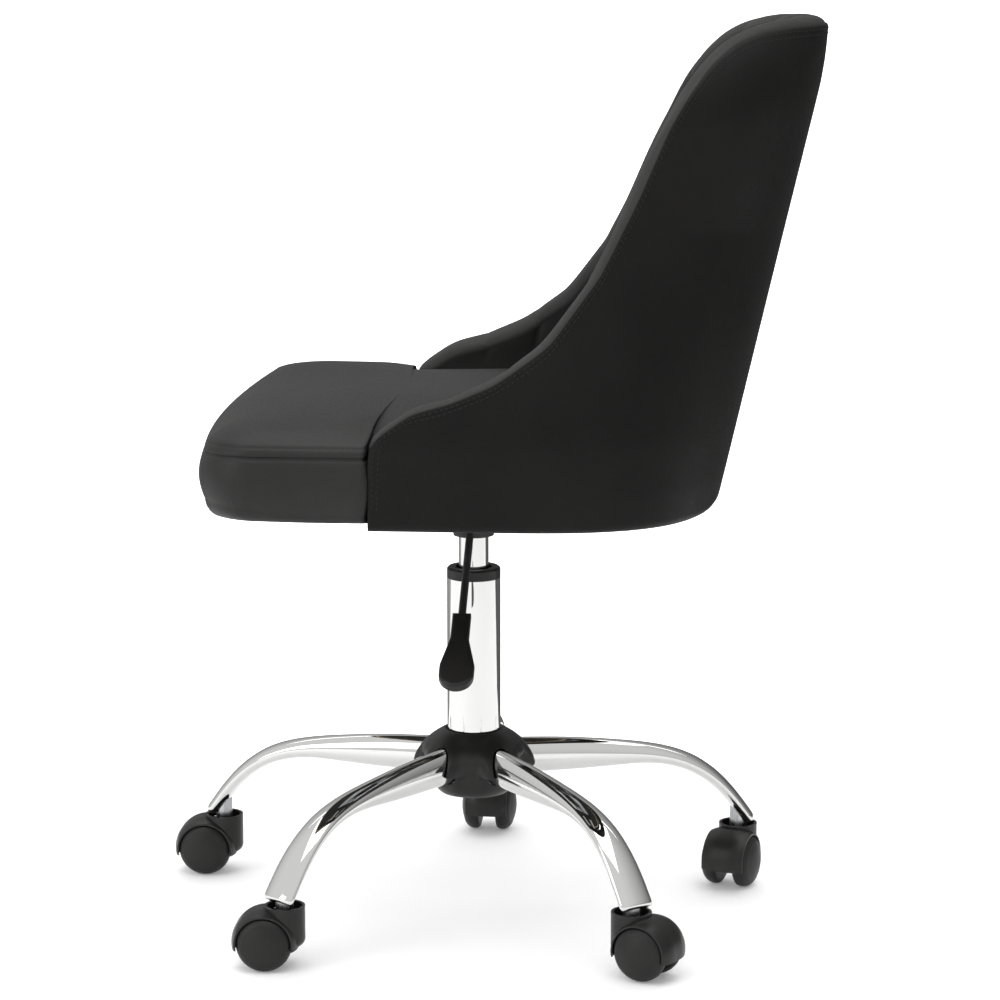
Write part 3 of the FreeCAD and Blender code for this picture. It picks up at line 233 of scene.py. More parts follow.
def make_steel(name, base, low, high, scale=260, stretch=(1, 1, 0.08)):
    """Machined steel, brushed along its length."""
    made, tree, shader = material(name, base, low, 1.0)
    brushed, _ = object_noise(tree, scale, 3, 0.6, stretch)
    tree.links.new(ramp(tree, brushed, 0.3, 0.7, low, high), shader.inputs["Roughness"])
    tint(tree, shader, brushed, tuple(c * 0.82 for c in base), base)
    bump(tree, shader, [(brushed, 0.0002, 0.15)])
    return made


def make_plastic(name, dark, light, low, high, grain_scale, grain_depth):
    """Moulded plastic, rubber or coating: a cloudy colour under a fine grain, rough from low to high."""
    made, tree, shader = material(name, light, low, 0.0, Specular_IOR_Level=0.28)
    cloud, _ = object_noise(tree, 30, 3)
    grain, _ = object_noise(tree, grain_scale, 3, 0.6)
    tint(tree, shader, cloud, dark, light)
    tree.links.new(ramp(tree, grain, 0.3, 0.7, low, high), shader.inputs["Roughness"])
    bump(tree, shader, [(grain, grain_depth, 0.35)])
    return made


def make_cloth(name, dark, light, scale, depth):
    """A matt weave, foam or thread."""
    made, tree, shader = material(name, light, 0.9, 0.0, Specular_IOR_Level=0.15)
    weave, _ = object_noise(tree, scale, 2, 0.7)
    tint(tree, shader, weave, dark, light)
    bump(tree, shader, [(weave, depth, 0.6)])
    return made


def make_wood():
    """Raw plywood with stretched grain."""
    made, tree, shader = material("raw_plywood", (0.5, 0.36, 0.2), 0.62)
    grain, _ = object_noise(tree, 60, 4, 0.6, (1, 0.08, 3))
    tint(tree, shader, grain, (0.36, 0.24, 0.13), (0.58, 0.43, 0.26))
    bump(tree, shader, [(grain, 0.0004, 0.4)])
    return made


LOOKS = {
    "leather": make_leather("black_leather", (0.0055, 0.0052, 0.005), (0.0085, 0.008, 0.0077)),
    "chrome": make_chrome(),
    "steel": make_steel("machined_steel", (0.5, 0.51, 0.52), 0.22, 0.42),
    "black_plastic": make_plastic("black_plastic", (0.008, 0.0077, 0.0074), (0.013, 0.0125, 0.012),
                                  0.3, 0.4, 900, 0.00012),
    "caster_plastic": make_plastic("caster_plastic", (0.01, 0.0097, 0.0093), (0.015, 0.0145, 0.014),
                                   0.3, 0.42, 1100, 0.0001),
    "wheel_plastic": make_plastic("wheel_plastic", (0.009, 0.0087, 0.0084), (0.013, 0.0125, 0.012),
                                  0.42, 0.55, 1300, 0.00014),
    "foam": make_cloth("cut_foam", (0.5, 0.44, 0.24), (0.62, 0.56, 0.34), 700, 0.0006),
    "board": make_wood(),
    "dust_cloth": make_cloth("dust_cloth", (0.012,) * 3, (0.03,) * 3, 1500, 0.0002),
    "rubber": make_plastic("black_rubber", (0.012, 0.012, 0.012), (0.02, 0.02, 0.02),
                           0.65, 0.8, 500, 0.0002),
    "black_steel": make_plastic("black_coated_steel", (0.014, 0.014, 0.014), (0.022, 0.022, 0.022),
                                0.3, 0.42, 700, 0.0002),
}
# The padded lining uses the same black leather with a lighter base colour: painted light that makes the
# inside of the back and wings read lighter.
LIT_PAD_LEATHER = make_leather("pad_leather_painted_light", (0.026, 0.0255, 0.025), (0.034, 0.0332, 0.0325))
# The cushion uses the same black leather with a lighter base colour: painted light that makes its top read
# lighter, as if under a brighter lamp.
LIT_SEAT_LEATHER = make_leather("seat_leather_painted_light", (0.014, 0.0136, 0.0133), (0.019, 0.0185, 0.018), 0.22)
THREAD = make_cloth("black_thread", (0.014, 0.014, 0.014), (0.03, 0.029, 0.028), 2500, 0.0001)


def dress(obj, slot, look=None):
    """Gives a piece the look of its material slot, or a look of its own."""
    obj.data.materials.clear()
    obj.data.materials.append(look or LOOKS[slot])


def piece(obj, body, slot, *replaced, look=None):
    """A finished visual piece: its material, its body and the CAD nodes it stands for."""
    dress(obj, slot, look)
    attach(obj, body)
    if replaced:
        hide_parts(*replaced)
    return obj


for subpart in frame["record"]["subparts"]:
    dress(nodes[subpart["node"]], subpart["material_slot"])


# ---------------------------------------------------------------- seat cushion

# The cushion in plan, in millimetres: its front bows out between two round corners, its sides run
# back to a notch in front of each wing, and its tail fills the inside of the tub.
CUSHION = {"half": 226, "corner_x": 182, "corner_y": -222, "corner_side": -172, "corner_round": 47.0,
           "bow": 1520, "notch": -74.5, "notch_round": 5, "tail": 186.1, "tail_start": 60,
           "tail_round": 115.5, "tail_corner": (110, 172), "back_round": 405.6}
CUSHION_MIDDLE = np.array((0.0, -60.0))
CUSHION_FOOT = 403.7
SEAM_Z = 461.0
STITCH_RISE = 8.5
# From the seam inwards over the crown: the inset, the rise and how far a welt or stitch line dips.
CROWN = ((0.2, 0.8, 1.2), (0.4, 1.8, 0.1), (0.9, 3.4, 0), (1.9, 5.4, 0), (3.6, 7.8, 0),
         (4.3, STITCH_RISE, 0.45), (5.0, 9.3, 0), (7.5, 11.4, 0), (11, 13.6, 0), (16, 15.8, 0),
         (22, 18.0, 0), (29, 19.8, 0), (37, 21.2, 0), (46, 22.4, 0), (56, 23.4, 0), (67, 24.2, 0),
         (80, 24.9, 0), (95, 25.5, 0), (112, 25.9, 0), (130, 26.2, 0))
CROWN_RISE = 26.4


def arc_points(start, end, radius, count):
    """Points along a counter-clockwise arc, without its last one."""
    start, end = np.array(start, float), np.array(end, float)
    chord = end - start
    rise = math.sqrt(max(radius ** 2 - (np.linalg.norm(chord) / 2) ** 2, 0))
    centre = (start + end) / 2 + np.array((-chord[1], chord[0])) / np.linalg.norm(chord) * rise
    first = math.atan2(*(start - centre)[::-1])
    last = math.atan2(*(end - centre)[::-1])
    last += 2 * math.pi * (last < first)
    turns = np.linspace(first, last, count)[:-1]
    return [tuple(centre + radius * np.array((math.cos(turn), math.sin(turn)))) for turn in turns]


def cushion_outline(step=4.0):
    """The cushion in plan, counter-clockwise from the middle of its front, in millimetres."""
    plan = CUSHION
    bow, half_wide, notch, small = plan["bow"], plan["half"], plan["notch"], plan["notch_round"]
    front = plan["corner_y"] - (bow - math.sqrt(bow ** 2 - plan["corner_x"] ** 2))
    points = []
    for x in np.arange(0, plan["corner_x"], step):
        points.append((x, front + bow - math.sqrt(bow ** 2 - x ** 2)))
    points += arc_points((plan["corner_x"], plan["corner_y"]), (half_wide, plan["corner_side"]),
                         plan["corner_round"], 19)
    for y in np.arange(plan["corner_side"], notch - small, step):
        points.append((half_wide, y))
    for turn in np.linspace(0, math.pi / 2, 5):
        points.append((half_wide - small + small * math.cos(turn), notch - small + small * math.sin(turn)))
    for x in np.arange(half_wide - small - step, plan["tail"], -step):
        points.append((x, notch))
    for y in np.arange(notch, plan["tail_start"], step):
        points.append((plan["tail"], y))
    points += arc_points((plan["tail"], plan["tail_start"]), plan["tail_corner"], plan["tail_round"], 40)
    across, behind = plan["tail_corner"]
    rear_arc = arc_points(plan["tail_corner"], (-across, behind), plan["back_round"], 61)
    points += rear_arc[:len(rear_arc) // 2 + 1]
    half = np.array(points)
    other = half[1:-1][::-1] * (-1, 1)
    return np.concatenate([half, other])


def outward_normals(outline):
    """Softened outward directions round a closed plan."""
    tangent = np.roll(outline, -1, axis=0) - np.roll(outline, 1, axis=0)
    tangent /= np.linalg.norm(tangent, axis=1, keepdims=True)
    normal = np.stack([tangent[:, 1], -tangent[:, 0]], axis=1)
    for _ in range(6):
        normal = (np.roll(normal, 1, axis=0) + normal + np.roll(normal, -1, axis=0)) / 3
    return normal / np.linalg.norm(normal, axis=1, keepdims=True)


def cushion_rings():
    """Rings of the cushion from its recessed underside, round the boxing, over the seam to the crown."""
    outline = cushion_outline()
    inward = CUSHION_MIDDLE - outline
    inward = inward / np.linalg.norm(inward, axis=1, keepdims=True)
    normal = outward_normals(outline)
    frontness = smoothstep(-outline[:, 1], 120, 215)
    hidden = smoothstep(outline[:, 1], CUSHION["notch"] - 3, CUSHION["notch"] + 6)
    bottom = CUSHION_FOOT
    rings = []

    def ring(inset, height, bulge=0.0):
        moved = outline + inward * np.reshape(inset, (-1, 1)) + normal * np.reshape(bulge, (-1, 1))
        level = np.broadcast_to(height, (len(outline),))
        rings.append(np.column_stack([moved, level]))

    flat = np.zeros(len(outline))
    under = 12 + 2 * frontness
    ring(under + 3, flat + 416.4)
    ring(under + 0.6, flat + 416.2)
    ring(under, flat + 414.0)
    ring(under, flat + 406.0)
    ring(under, flat + bottom + 0.4)
    corner = 7 + 8 * frontness
    for turn in np.linspace(0, math.pi / 2, 9):
        ring(corner * (1 - math.sin(turn)), bottom + corner * (1 - math.cos(turn)))
    start = bottom + corner
    for share in np.linspace(0, 1, 22)[1:]:
        height = start + (SEAM_Z - start) * share
        bow = np.sin(share * math.pi) ** 0.8 * 4.6 * (1 - hidden)
        groove = 2.2 * math.exp(-((SEAM_Z - np.mean(height)) / 1.5) ** 2)
        ring(flat, height, bow - groove)
    for inset, rise, dip in CROWN:
        ring(flat + inset, flat + SEAM_Z + rise, -dip)
    last = rings[-1]
    middle = np.array((*CUSHION_MIDDLE, SEAM_Z + CROWN_RISE))
    for share in (0.8, 0.6, 0.4, 0.22, 0.08):
        rings.append(middle + (last - middle) * (share, share, 1))
    return rings


CLOTH_FRAMES = 20


def simulate(obj, pressure, cap, voxel=0.006):
    """How far a puffed copy of the piece moves, as (rest points, moves), from a short cloth run."""
    copy = obj.copy()
    copy.data = obj.data.copy()
    bpy.context.collection.objects.link(copy)
    bpy.context.view_layer.objects.active = copy
    remesh = copy.modifiers.new("remesh", "REMESH")
    remesh.mode = "VOXEL"
    remesh.voxel_size = voxel
    graph = bpy.context.evaluated_depsgraph_get()
    base = bpy.data.meshes.new_from_object(copy.evaluated_get(graph))
    copy.modifiers.clear()
    copy.data = base
    rest = np.empty(len(base.vertices) * 3)
    base.vertices.foreach_get("co", rest)
    rest = rest.reshape(-1, 3)
    cloth = copy.modifiers.new("cloth", "CLOTH")
    cloth.settings.use_pressure = True
    cloth.settings.uniform_pressure_force = pressure
    cloth.settings.effector_weights.gravity = 0
    cloth.settings.tension_stiffness = 15
    cloth.settings.compression_stiffness = 12
    cloth.settings.bending_stiffness = 0.6
    cloth.point_cache.frame_start = 1
    cloth.point_cache.frame_end = CLOTH_FRAMES
    scene = bpy.context.scene
    for number in range(1, CLOTH_FRAMES + 1):
        scene.frame_set(number)
    graph = bpy.context.evaluated_depsgraph_get()
    puffed = copy.evaluated_get(graph).to_mesh()
    after = np.empty(len(puffed.vertices) * 3)
    puffed.vertices.foreach_get("co", after)
    moves = after.reshape(-1, 3) - rest
    length = np.linalg.norm(moves, axis=1, keepdims=True)
    moves *= np.minimum(1, cap / np.maximum(length, 1e-9))
    scene.frame_set(1)
    bpy.data.objects.remove(copy)
    return rest, moves


def apply_moves(obj, rest, moves, weight):
    """Moves each vertex with its nearest simulated points, times weight(point)."""
    tree = kdtree.KDTree(len(rest))
    for index, point in enumerate(rest):
        tree.insert(point, index)
    tree.balance()
    for vertex in obj.data.vertices:
        share = weight(vertex.co)
        if share <= 0:
            continue
        near = tree.find_n(vertex.co, 6)
        total, shift = 0.0, np.zeros(3)
        for _, index, distance in near:
            pull = 1 / (distance + 0.001)
            total += pull
            shift += moves[index] * pull
        vertex.co += Vector(shift / total * share)


def wrinkle_boxing(obj):
    """Slight pull lines in the boxing above its stapled hem, and a gentle unevenness in the top."""
    middle_y = CUSHION_MIDDLE[1] * MM
    for vertex in obj.data.vertices:
        x, y, z = vertex.co
        if z < 0.4055:
            continue
        angle = math.atan2(y - middle_y, x)
        low = smoothstep(0.452 - z, 0, 0.04)
        pulls = soft_noise((math.cos(angle) * 3.2, math.sin(angle) * 3.2, z * 2), 4.2, 3)
        outward = Vector((x, y - middle_y, 0)).normalized()
        vertex.co += outward * float(low * 0.0015 * pulls)
        top = smoothstep(z, SEAM_Z * MM + 0.012, SEAM_Z * MM + 0.02)
        vertex.co.z += float(top) * 0.0016 * soft_noise((x, y, 0), 9, 5)


rings = [ring * MM for ring in cushion_rings()]
cushion = ring_stack("seat_cushion", rings)
rest, moves = simulate(cushion, 4, 0.006)

def puff(point):
    above = smoothstep(point.z, SEAM_Z * MM + 0.010, SEAM_Z * MM + 0.018)
    return float(0.55 * above)

apply_moves(cushion, rest, moves, puff)
wrinkle_boxing(cushion)
# The cushion takes the lightened copy of the leather, painted light over the whole cushion.
piece(cushion, "seat", "leather", "seat_cover", "seat_foam", look=LIT_SEAT_LEATHER)


# ---------------------------------------------------------------- tub back

# The tub in millimetres: its plan, how its rear leans and curls with height, how it narrows and
# pinches in towards the top, and how its squarish plan rounds off above the seat.
TUB = {"half": 228.0, "depth": 205.0, "foot": 397.0, "lean_base": 400.0, "rear": 227.3,
       "lean": 100.3 / 430, "curl": 760.0, "curl_rise": 70.0, "back_curl": 7.5, "taper": 470.0,
       "taper_rise": 360.0, "narrowing": 58.0, "power": 1.3, "pinch": 740.0, "pinch_rise": 100.0,
       "top_pinch": 86.0, "square": 3.2, "square_loss": 1.0, "square_start": 430, "square_rise": 220}
# The rim in side view, as (y, z), from the wing's foot to the top of the back.
RIM = np.array(((-73, 397), (-73, 427), (-73, 456), (-71, 470.5), (-63, 483), (-33, 504), (0, 513),
                (37, 529), (83, 562), (127, 622), (159, 688), (184, 748), (200, 776), (219, 802),
                (240, 819), (261, 827), (285, 830), (330, 831.2)), float)
WING_POINTS = 5
WING_LEAN = 0.45
# Sewn channels on each side of the back's middle, and the share of each side that is rounded.
CHANNELS = 7.5
ARC_SHARE = 0.7285
COLUMNS_PER_CHANNEL = 16


def half_width(z):
    share = min(max((z - TUB["taper"]) / TUB["taper_rise"], 0), 1)
    pinch = min(max((z - TUB["pinch"]) / TUB["pinch_rise"], 0), 1)
    width = TUB["half"] - TUB["narrowing"] * math.sin(share * math.pi / 2) ** TUB["power"]
    return width - TUB["top_pinch"] * pinch ** 2


def rear(z):
    curl = max((z - TUB["curl"]) / TUB["curl_rise"], 0)
    return TUB["rear"] + TUB["lean"] * (z - TUB["lean_base"]) - TUB["back_curl"] * curl ** 2


def front(z):
    """The line ahead of which nothing of the tub lies at this height; the sewn channels lean along it."""
    wing = RIM[:WING_POINTS]
    wing_y, wing_z = wing[-1]
    if z <= wing_z:
        return float(np.interp(z, wing[:, 1], wing[:, 0]))
    return wing_y + WING_LEAN * (z - wing_z)


def tub_point(u, z, inset, drop=0.0):
    """A point of the tub's wall: u runs from -1 at one wing's front, by 0 at the back, to 1."""
    middle = rear(z) - TUB["depth"]
    width, depth = half_width(z) - inset, TUB["depth"] - inset
    side = math.copysign(1, u)
    share = abs(u)
    if share <= ARC_SHARE:
        turn = math.pi / 2 * (1 - share / ARC_SHARE)
        rounded = min(max((z - TUB["square_start"]) / TUB["square_rise"], 0), 1)
        power = TUB["square"] - TUB["square_loss"] * rounded
        cosine, sine = math.cos(turn), math.sin(turn)
        reach = (cosine ** power + sine ** power) ** (-1 / power)
        return np.array((side * width * reach * cosine, middle + depth * reach * sine, z))
    along = (share - ARC_SHARE) / (1 - ARC_SHARE)
    return np.array((side * width, middle + (front(z) + drop * 0.8 - middle) * along, z))


def smooth_rim():
    """The rim as a finely divided smooth line."""
    lengths = np.concatenate([[0], np.cumsum(np.linalg.norm(np.diff(RIM, axis=0), axis=1))])
    fine = np.linspace(0, lengths[-1], 700)
    line = np.stack([np.interp(fine, lengths, RIM[:, k]) for k in (0, 1)], axis=1)
    for _ in range(120):
        line[1:-1] = (line[:-2] + 2 * line[1:-1] + line[2:]) / 4
    return line


RIM_LINE = smooth_rim()
SWEEP = RIM_LINE[RIM_LINE[:, 1] > 478]


def rim_height(y):
    return float(np.interp(y, SWEEP[:, 0], SWEEP[:, 1]))


def column_top(u, inset, drop=0.0):
    """The height at which the wall's column u meets the rim, or a line drop below it."""
    low, high = 440.0, 834.0
    for _ in range(40):
        middle = (low + high) / 2
        if middle + drop < rim_height(tub_point(u, middle, inset, drop)[1]):
            low = middle
        else:
            high = middle
    return (low + high) / 2


def columns():
    count = int(CHANNELS * COLUMNS_PER_CHANNEL)
    half = [k / count for k in range(1, count)] + [0.9945, 0.998, 1.0]
    return np.array([-u for u in half[::-1]] + [0.0] + half)


COLUMNS = columns()


def seam_drop(u):
    """How far below the rim the seam runs: further on the upper back, where the pad rolls over it."""
    return 3.0 + 3.5 * float(smoothstep(column_top(u, 0), 600, 815))


HEEL = 8.0
COVER_THICK = 1.8
COVER_TURN_IN = 39.0
RIM_ROUND = ((1.3, 0.2), (0.75, 0.7), (0.3, 1.6), (0.05, 2.8))


def outer_cover():
    """The outer cover as columns of points: down the outside, round the hem and in under the tub."""
    lift = TUB["foot"] + 0.3
    thick, radius = COVER_THICK, HEEL
    columns_of_points = []
    for u in COLUMNS:
        top = column_top(u, 0, seam_drop(u))
        ahead = (1 - abs(u)) / (1 - ARC_SHARE) * 100
        turned_in = 1.5 * (1 - math.sqrt(1 - max(1 - ahead / 3, 0) ** 2))
        line = [(inset, top - below) for inset, below in RIM_ROUND]
        for z in np.linspace(top - 4.5, lift + radius, 110):
            line.append((0.0, z))
        for turn in np.linspace(0, math.pi / 2, 11)[1:]:
            line.append((radius * (1 - math.cos(turn)), lift + radius * (1 - math.sin(turn))))
        line.append((COVER_TURN_IN, lift))
        line.append((COVER_TURN_IN, lift + thick))
        for turn in np.linspace(math.pi / 2, 0, 11):
            line.append((radius - (radius - thick) * math.cos(turn),
                         lift + radius - (radius - thick) * math.sin(turn)))
        for z in np.linspace(lift + radius, top - 0.4, 30)[1:]:
            line.append((thick, z))
        columns_of_points.append([tub_point(u, z, max(inset, turned_in)) for inset, z in line])
    return np.array(columns_of_points)


def build_outer():
    points = outer_cover()
    count, length = points.shape[:2]
    faces = grid_faces(count, length, wrap_columns=True)
    faces.append(tuple(range(length)))
    faces.append(tuple((count - 1) * length + k for k in range(length))[::-1])
    return mesh_object("back_outer", points.reshape(-1, 3) * MM, faces)


def channel_profile(u):
    """How far a sewn channel stands out, from 0 in its seam to 1 along its middle."""
    place = abs(u) * CHANNELS + 0.5
    apart = abs(place - round(place)) * 2
    if abs(u) * CHANNELS > CHANNELS - 0.5:
        apart = 1.0
    return 0.45 * (1 - (1 - apart) ** 9) + 0.55 * (1 - (1 - apart) ** 2.2)


PAD_FOOT = 399.8
PAD_ROWS = 120
PAD_BACK = 1.9
PAD_FACE_DROP = 14.0
ROLL_STEPS = 26


def patch(inset_of, drop_of):
    """Grid of points (row, column) of the wall, from the pad's foot to a line a drop below the rim."""
    grid = np.zeros((PAD_ROWS, len(COLUMNS), 3))
    for j, u in enumerate(COLUMNS):
        drop = drop_of(u)
        top = column_top(u, inset_of(u, 600), drop)
        for i in range(PAD_ROWS):
            z = PAD_FOOT + (top - PAD_FOOT) * i / (PAD_ROWS - 1)
            grid[i, j] = tub_point(u, z, inset_of(u, z), drop)
    return grid


def border(grid):
    """The grid's edge from one foot corner up, along its top and down to the other foot corner."""
    return np.concatenate([grid[:, 0], grid[-1, 1:-1], grid[::-1, -1]])


def unit(rows):
    return rows / np.linalg.norm(rows, axis=1, keepdims=True)


def inner_inset(u, z):
    """How far the pad's face lies in from the tub's outside: plump between seams, thin at its foot."""
    plump = float(smoothstep(z, 478, 520))
    return 38.4 + 4.4 * plump * channel_profile(u)


def rolled_rim(start, finish):
    """Lines over the pad's rounded edge, from the seam line to the edge of the channelled face."""
    middle = (start + finish) / 2
    tangent = np.gradient(middle, axis=0)
    across = finish - start
    rise = unit(np.cross(tangent, across))
    outward = middle - np.array((0, 120.0, 380.0))
    rise *= np.sign(np.sum(rise * outward, axis=1, keepdims=True))
    for _ in range(12):
        rise[1:-1] = (rise[:-2] + rise[1:-1] * 2 + rise[2:]) / 4
    rise, across = unit(rise), unit(across)
    along = border(np.repeat(COLUMNS[None, :, None], PAD_ROWS, axis=0))[:, 0]
    seams = np.array([channel_profile(u) for u in along])[:, None]
    high = smoothstep(middle[:, 2], 560, 820)[:, None]
    first = start + rise * (9.5 + 8.0 * high) - across * 2.4
    second = finish + rise * (17.0 + 1.5 * high) + across * 1.0
    lines = []
    for t in (1 - np.cos(np.linspace(0, math.pi, ROLL_STEPS))) / 2:
        left = 1 - t
        bend = left ** 3 * start + 3 * left ** 2 * t * first + 3 * left * t ** 2 * second + t ** 3 * finish
        dip = (1 - seams) * (0.5 + 1.2 * t) * math.sin(math.pi * t) ** 0.7
        lines.append(bend - rise * dip)
    return np.array(lines)


def build_inner():
    """The padded inner cover: from the seam over the rounded rim and down inside in sewn channels."""
    back = patch(lambda u, z: PAD_BACK, lambda u: seam_drop(u) + 3.5)
    face = patch(inner_inset, lambda u: PAD_FACE_DROP)
    start, finish = border(back), border(face)
    strip = rolled_rim(start, finish)
    rows, count = back.shape[:2]
    around = len(start)
    points = np.concatenate([back.reshape(-1, 3), face.reshape(-1, 3), strip[1:-1].reshape(-1, 3)])
    offset_face, offset_strip = rows * count, 2 * rows * count

    def edge_index(first_index):
        grid = np.arange(rows * count).reshape(rows, count) + first_index
        return np.concatenate([grid[:, 0], grid[-1, 1:-1], grid[::-1, -1]])

    lines = [edge_index(0)]
    for step in range(ROLL_STEPS - 2):
        lines.append(offset_strip + step * around + np.arange(around))
    lines.append(edge_index(offset_face))
    faces = grid_faces(rows, count) + grid_faces(rows, count, first=offset_face)
    for a, b in zip(lines[:-1], lines[1:]):
        for k in range(around - 1):
            faces.append((a[k], a[k + 1], b[k + 1], b[k]))
    for j in range(count - 1):
        faces.append((j, j + 1, offset_face + j + 1, offset_face + j))
    for end in (0, around - 1):
        faces.append(tuple(line[end] for line in lines))
    return mesh_object("back_pad", points * MM, faces)


outer = build_outer()
piece(outer, "seat", "leather", "back_outer_cover")
pad = build_inner()
# The pad takes the lightened copy of the leather, painted light over its whole face.
piece(pad, "seat", "leather", "back_inner_cover", "back_foam", "back_frame", look=LIT_PAD_LEATHER)


# ---------------------------------------------------------------- base

HUB_ANGLE = 180.8
# Stations along a leg's middle line, in millimetres and degrees, with its half height and half width.
LEG = {"reach": (30, 90, 140, 178, 212, 240, 270.5),
       "height": (138.9, 136.7, 134.3, 130.6, 119.8, 99.8, 61.8),
       "droop": (1, 2.5, 4.5, 10.5, 26, 45, 57),
       "tall": (17.4, 15.9, 12.5, 9.5, 8.1, 7.0, 6.6),
       "wide": (12, 12, 12.4, 13.2, 14.4, 15.8, 17)}


def smooth_through(values, places, fine):
    """A natural cubic spline through values at places, read at fine."""
    places, values = np.array(places, float), np.array(values, float)
    gaps = np.diff(places)
    size = len(places)
    matrix, right = np.eye(size), np.zeros(size)
    for k in range(1, size - 1):
        matrix[k, k - 1:k + 2] = gaps[k - 1], 2 * (gaps[k - 1] + gaps[k]), gaps[k]
        right[k] = 6 * ((values[k + 1] - values[k]) / gaps[k] - (values[k] - values[k - 1]) / gaps[k - 1])
    bend = np.linalg.solve(matrix, right)
    spot = np.clip(np.searchsorted(places, fine) - 1, 0, size - 2)
    gap, left = gaps[spot], fine - places[spot]
    rest = gap - left
    return ((bend[spot] * rest ** 3 + bend[spot + 1] * left ** 3) / (6 * gap)
            + (values[spot] / gap - bend[spot] * gap / 6) * rest
            + (values[spot + 1] / gap - bend[spot + 1] * gap / 6) * left)


def leg_rings(sides=48, count=90, tip_round=1.6):
    """Oval rings along a leg that points along x, with its tip's edge rounded."""
    lengths = np.concatenate([[0], np.cumsum(np.hypot(np.diff(LEG["reach"]), np.diff(LEG["height"])))])
    fine = np.linspace(0, lengths[-1], count)
    track = {name: smooth_through(values, lengths, fine) for name, values in LEG.items()}
    rings = []
    for k in range(count):
        slope = math.radians(track["droop"][k])
        left = (count - 1 - k) * (fine[1] - fine[0])
        edge = 1 - 0.09 * max(1 - left / tip_round, 0) ** 2
        tall, wide = track["tall"][k] * edge, track["wide"][k] * edge
        ring = []
        for turn in np.linspace(0, 2 * math.pi, sides, endpoint=False):
            up = tall * math.cos(turn)
            ring.append((track["reach"][k] + up * math.sin(slope), wide * math.sin(turn),
                         track["height"][k] + up * math.cos(slope)))
        rings.append(np.array(ring) * MM)
    return rings


def turned_about(points, angle):
    """Points turned about the column's axis."""
    cos, sin = math.cos(angle), math.sin(angle)
    x, y = points[..., 0], points[..., 1]
    out = points.copy()
    out[..., 0] = x * cos - y * sin
    out[..., 1] = x * sin + y * cos
    return out


def leg_angle(number):
    return math.radians(HUB_ANGLE + 360 * number / LEGS)


for number in range(1, LEGS + 1):
    leg = ring_stack(f"swept_leg_{number}", [turned_about(ring, leg_angle(number)) for ring in leg_rings()])
    piece(leg, "base", "chrome", f"leg_{number}")


def sharpen(obj, degrees=38):
    """Marks edges sharper than an angle so smooth shading stops there."""
    work = bmesh.new()
    work.from_mesh(obj.data)
    for edge in work.edges:
        edge.smooth = len(edge.link_faces) == 2 and edge.calc_face_angle(0) < math.radians(degrees)
    for face in work.faces:
        face.smooth = True
    work.to_mesh(obj.data)
    work.free()


def cut_with(obj, cutters):
    """Takes cutters away from a piece, then removes the cutters."""
    for cutter in cutters:
        trim = obj.modifiers.new("cut", "BOOLEAN")
        trim.operation = "DIFFERENCE"
        trim.solver = "EXACT"
        trim.object = cutter
    graph = bpy.context.evaluated_depsgraph_get()
    cut = bpy.data.meshes.new_from_object(obj.evaluated_get(graph))
    obj.modifiers.clear()
    obj.data = cut
    for cutter in cutters:
        bpy.data.objects.remove(cutter)


# The hub cover's outline: each height, the radius over a leg, with its visor, and that between legs.
HUB_OUTLINE = ((168, 27.2, 27.2), (167.2, 29.4, 29.4), (164.5, 34, 34), (160.5, 40, 40),
               (156, 45.4, 45), (151, 49.8, 48.4), (146, 53.2, 48.6), (140, 56, 45), (135, 57.3, 42),
               (132.2, 57.2, 41), (130.8, 56, 40.7), (130.2, 53, 40.6), (129.6, 46, 40.4),
               (128.6, 41, 40.2), (124, 39.6, 39.6), (118, 38.4, 38.4), (113, 36.6, 36.6),
               (109.4, 34, 34), (107.6, 31.8, 31.8))
HUB_WALL = 3.2
SLOT = {"half": 13.3, "room": 1.3, "from": 20.0, "to": 75.0}


def slot_cutter(number):
    """The room that a leg takes through the hub cover, a little larger than the leg."""
    (root, nearby), (high, low) = LEG["reach"][:2], LEG["height"][:2]
    root_tall, nearby_tall = LEG["tall"][:2]
    slot = []
    for reach in (SLOT["from"], SLOT["to"]):
        share = (reach - root) / (nearby - root)
        tall = root_tall + (nearby_tall - root_tall) * share + SLOT["room"]
        middle = high + (low - high) * share
        ring = []
        for turn in np.linspace(0, 2 * math.pi, 48, endpoint=False):
            ring.append((reach, SLOT["half"] * math.sin(turn), middle + tall * math.cos(turn)))
        slot.append(turned_about(np.array(ring) * MM, leg_angle(number)))
    return ring_stack(f"slot_{number}", slot, smooth=False)


def hub_shell():
    """A moulded cover with a visor over each leg and hollows between, open for the legs."""
    turns = 180
    angles = np.linspace(0, 2 * math.pi, turns, endpoint=False)
    lobes = []
    for angle in angles:
        apart = (angle - leg_angle(0) + math.pi / LEGS) % (2 * math.pi / LEGS) - math.pi / LEGS
        lobes.append(1 - float(smoothstep(abs(math.degrees(apart)), 15.5, 29)))
    outside = []
    for z, over_leg, between in HUB_OUTLINE:
        outside.append([(between + (over_leg - between) * lobe, z) for lobe in lobes])
    inside = []
    for ring in outside[::-1]:
        inside.append([(min(radius, 54) - HUB_WALL, z - HUB_WALL * max(z - 136, 0) / 32)
                       for radius, z in ring])
    rings = []
    for ring in outside + inside:
        rings.append([(radius * math.cos(angle), radius * math.sin(angle), z)
                      for angle, (radius, z) in zip(angles, ring)])
    points = np.array(rings).reshape(-1, 3) * MM
    faces = grid_faces(len(rings), turns, wrap_rows=True, wrap_columns=True)
    shell = mesh_object("hub_shell", points, faces)
    cut_with(shell, [slot_cutter(number) for number in range(1, LEGS + 1)])
    sharpen(shell)
    return shell


hub = hub_shell()
piece(hub, "base", "black_plastic", "hub_cover")


# ---------------------------------------------------------------- stitches

THREAD_RADIUS = 0.00042


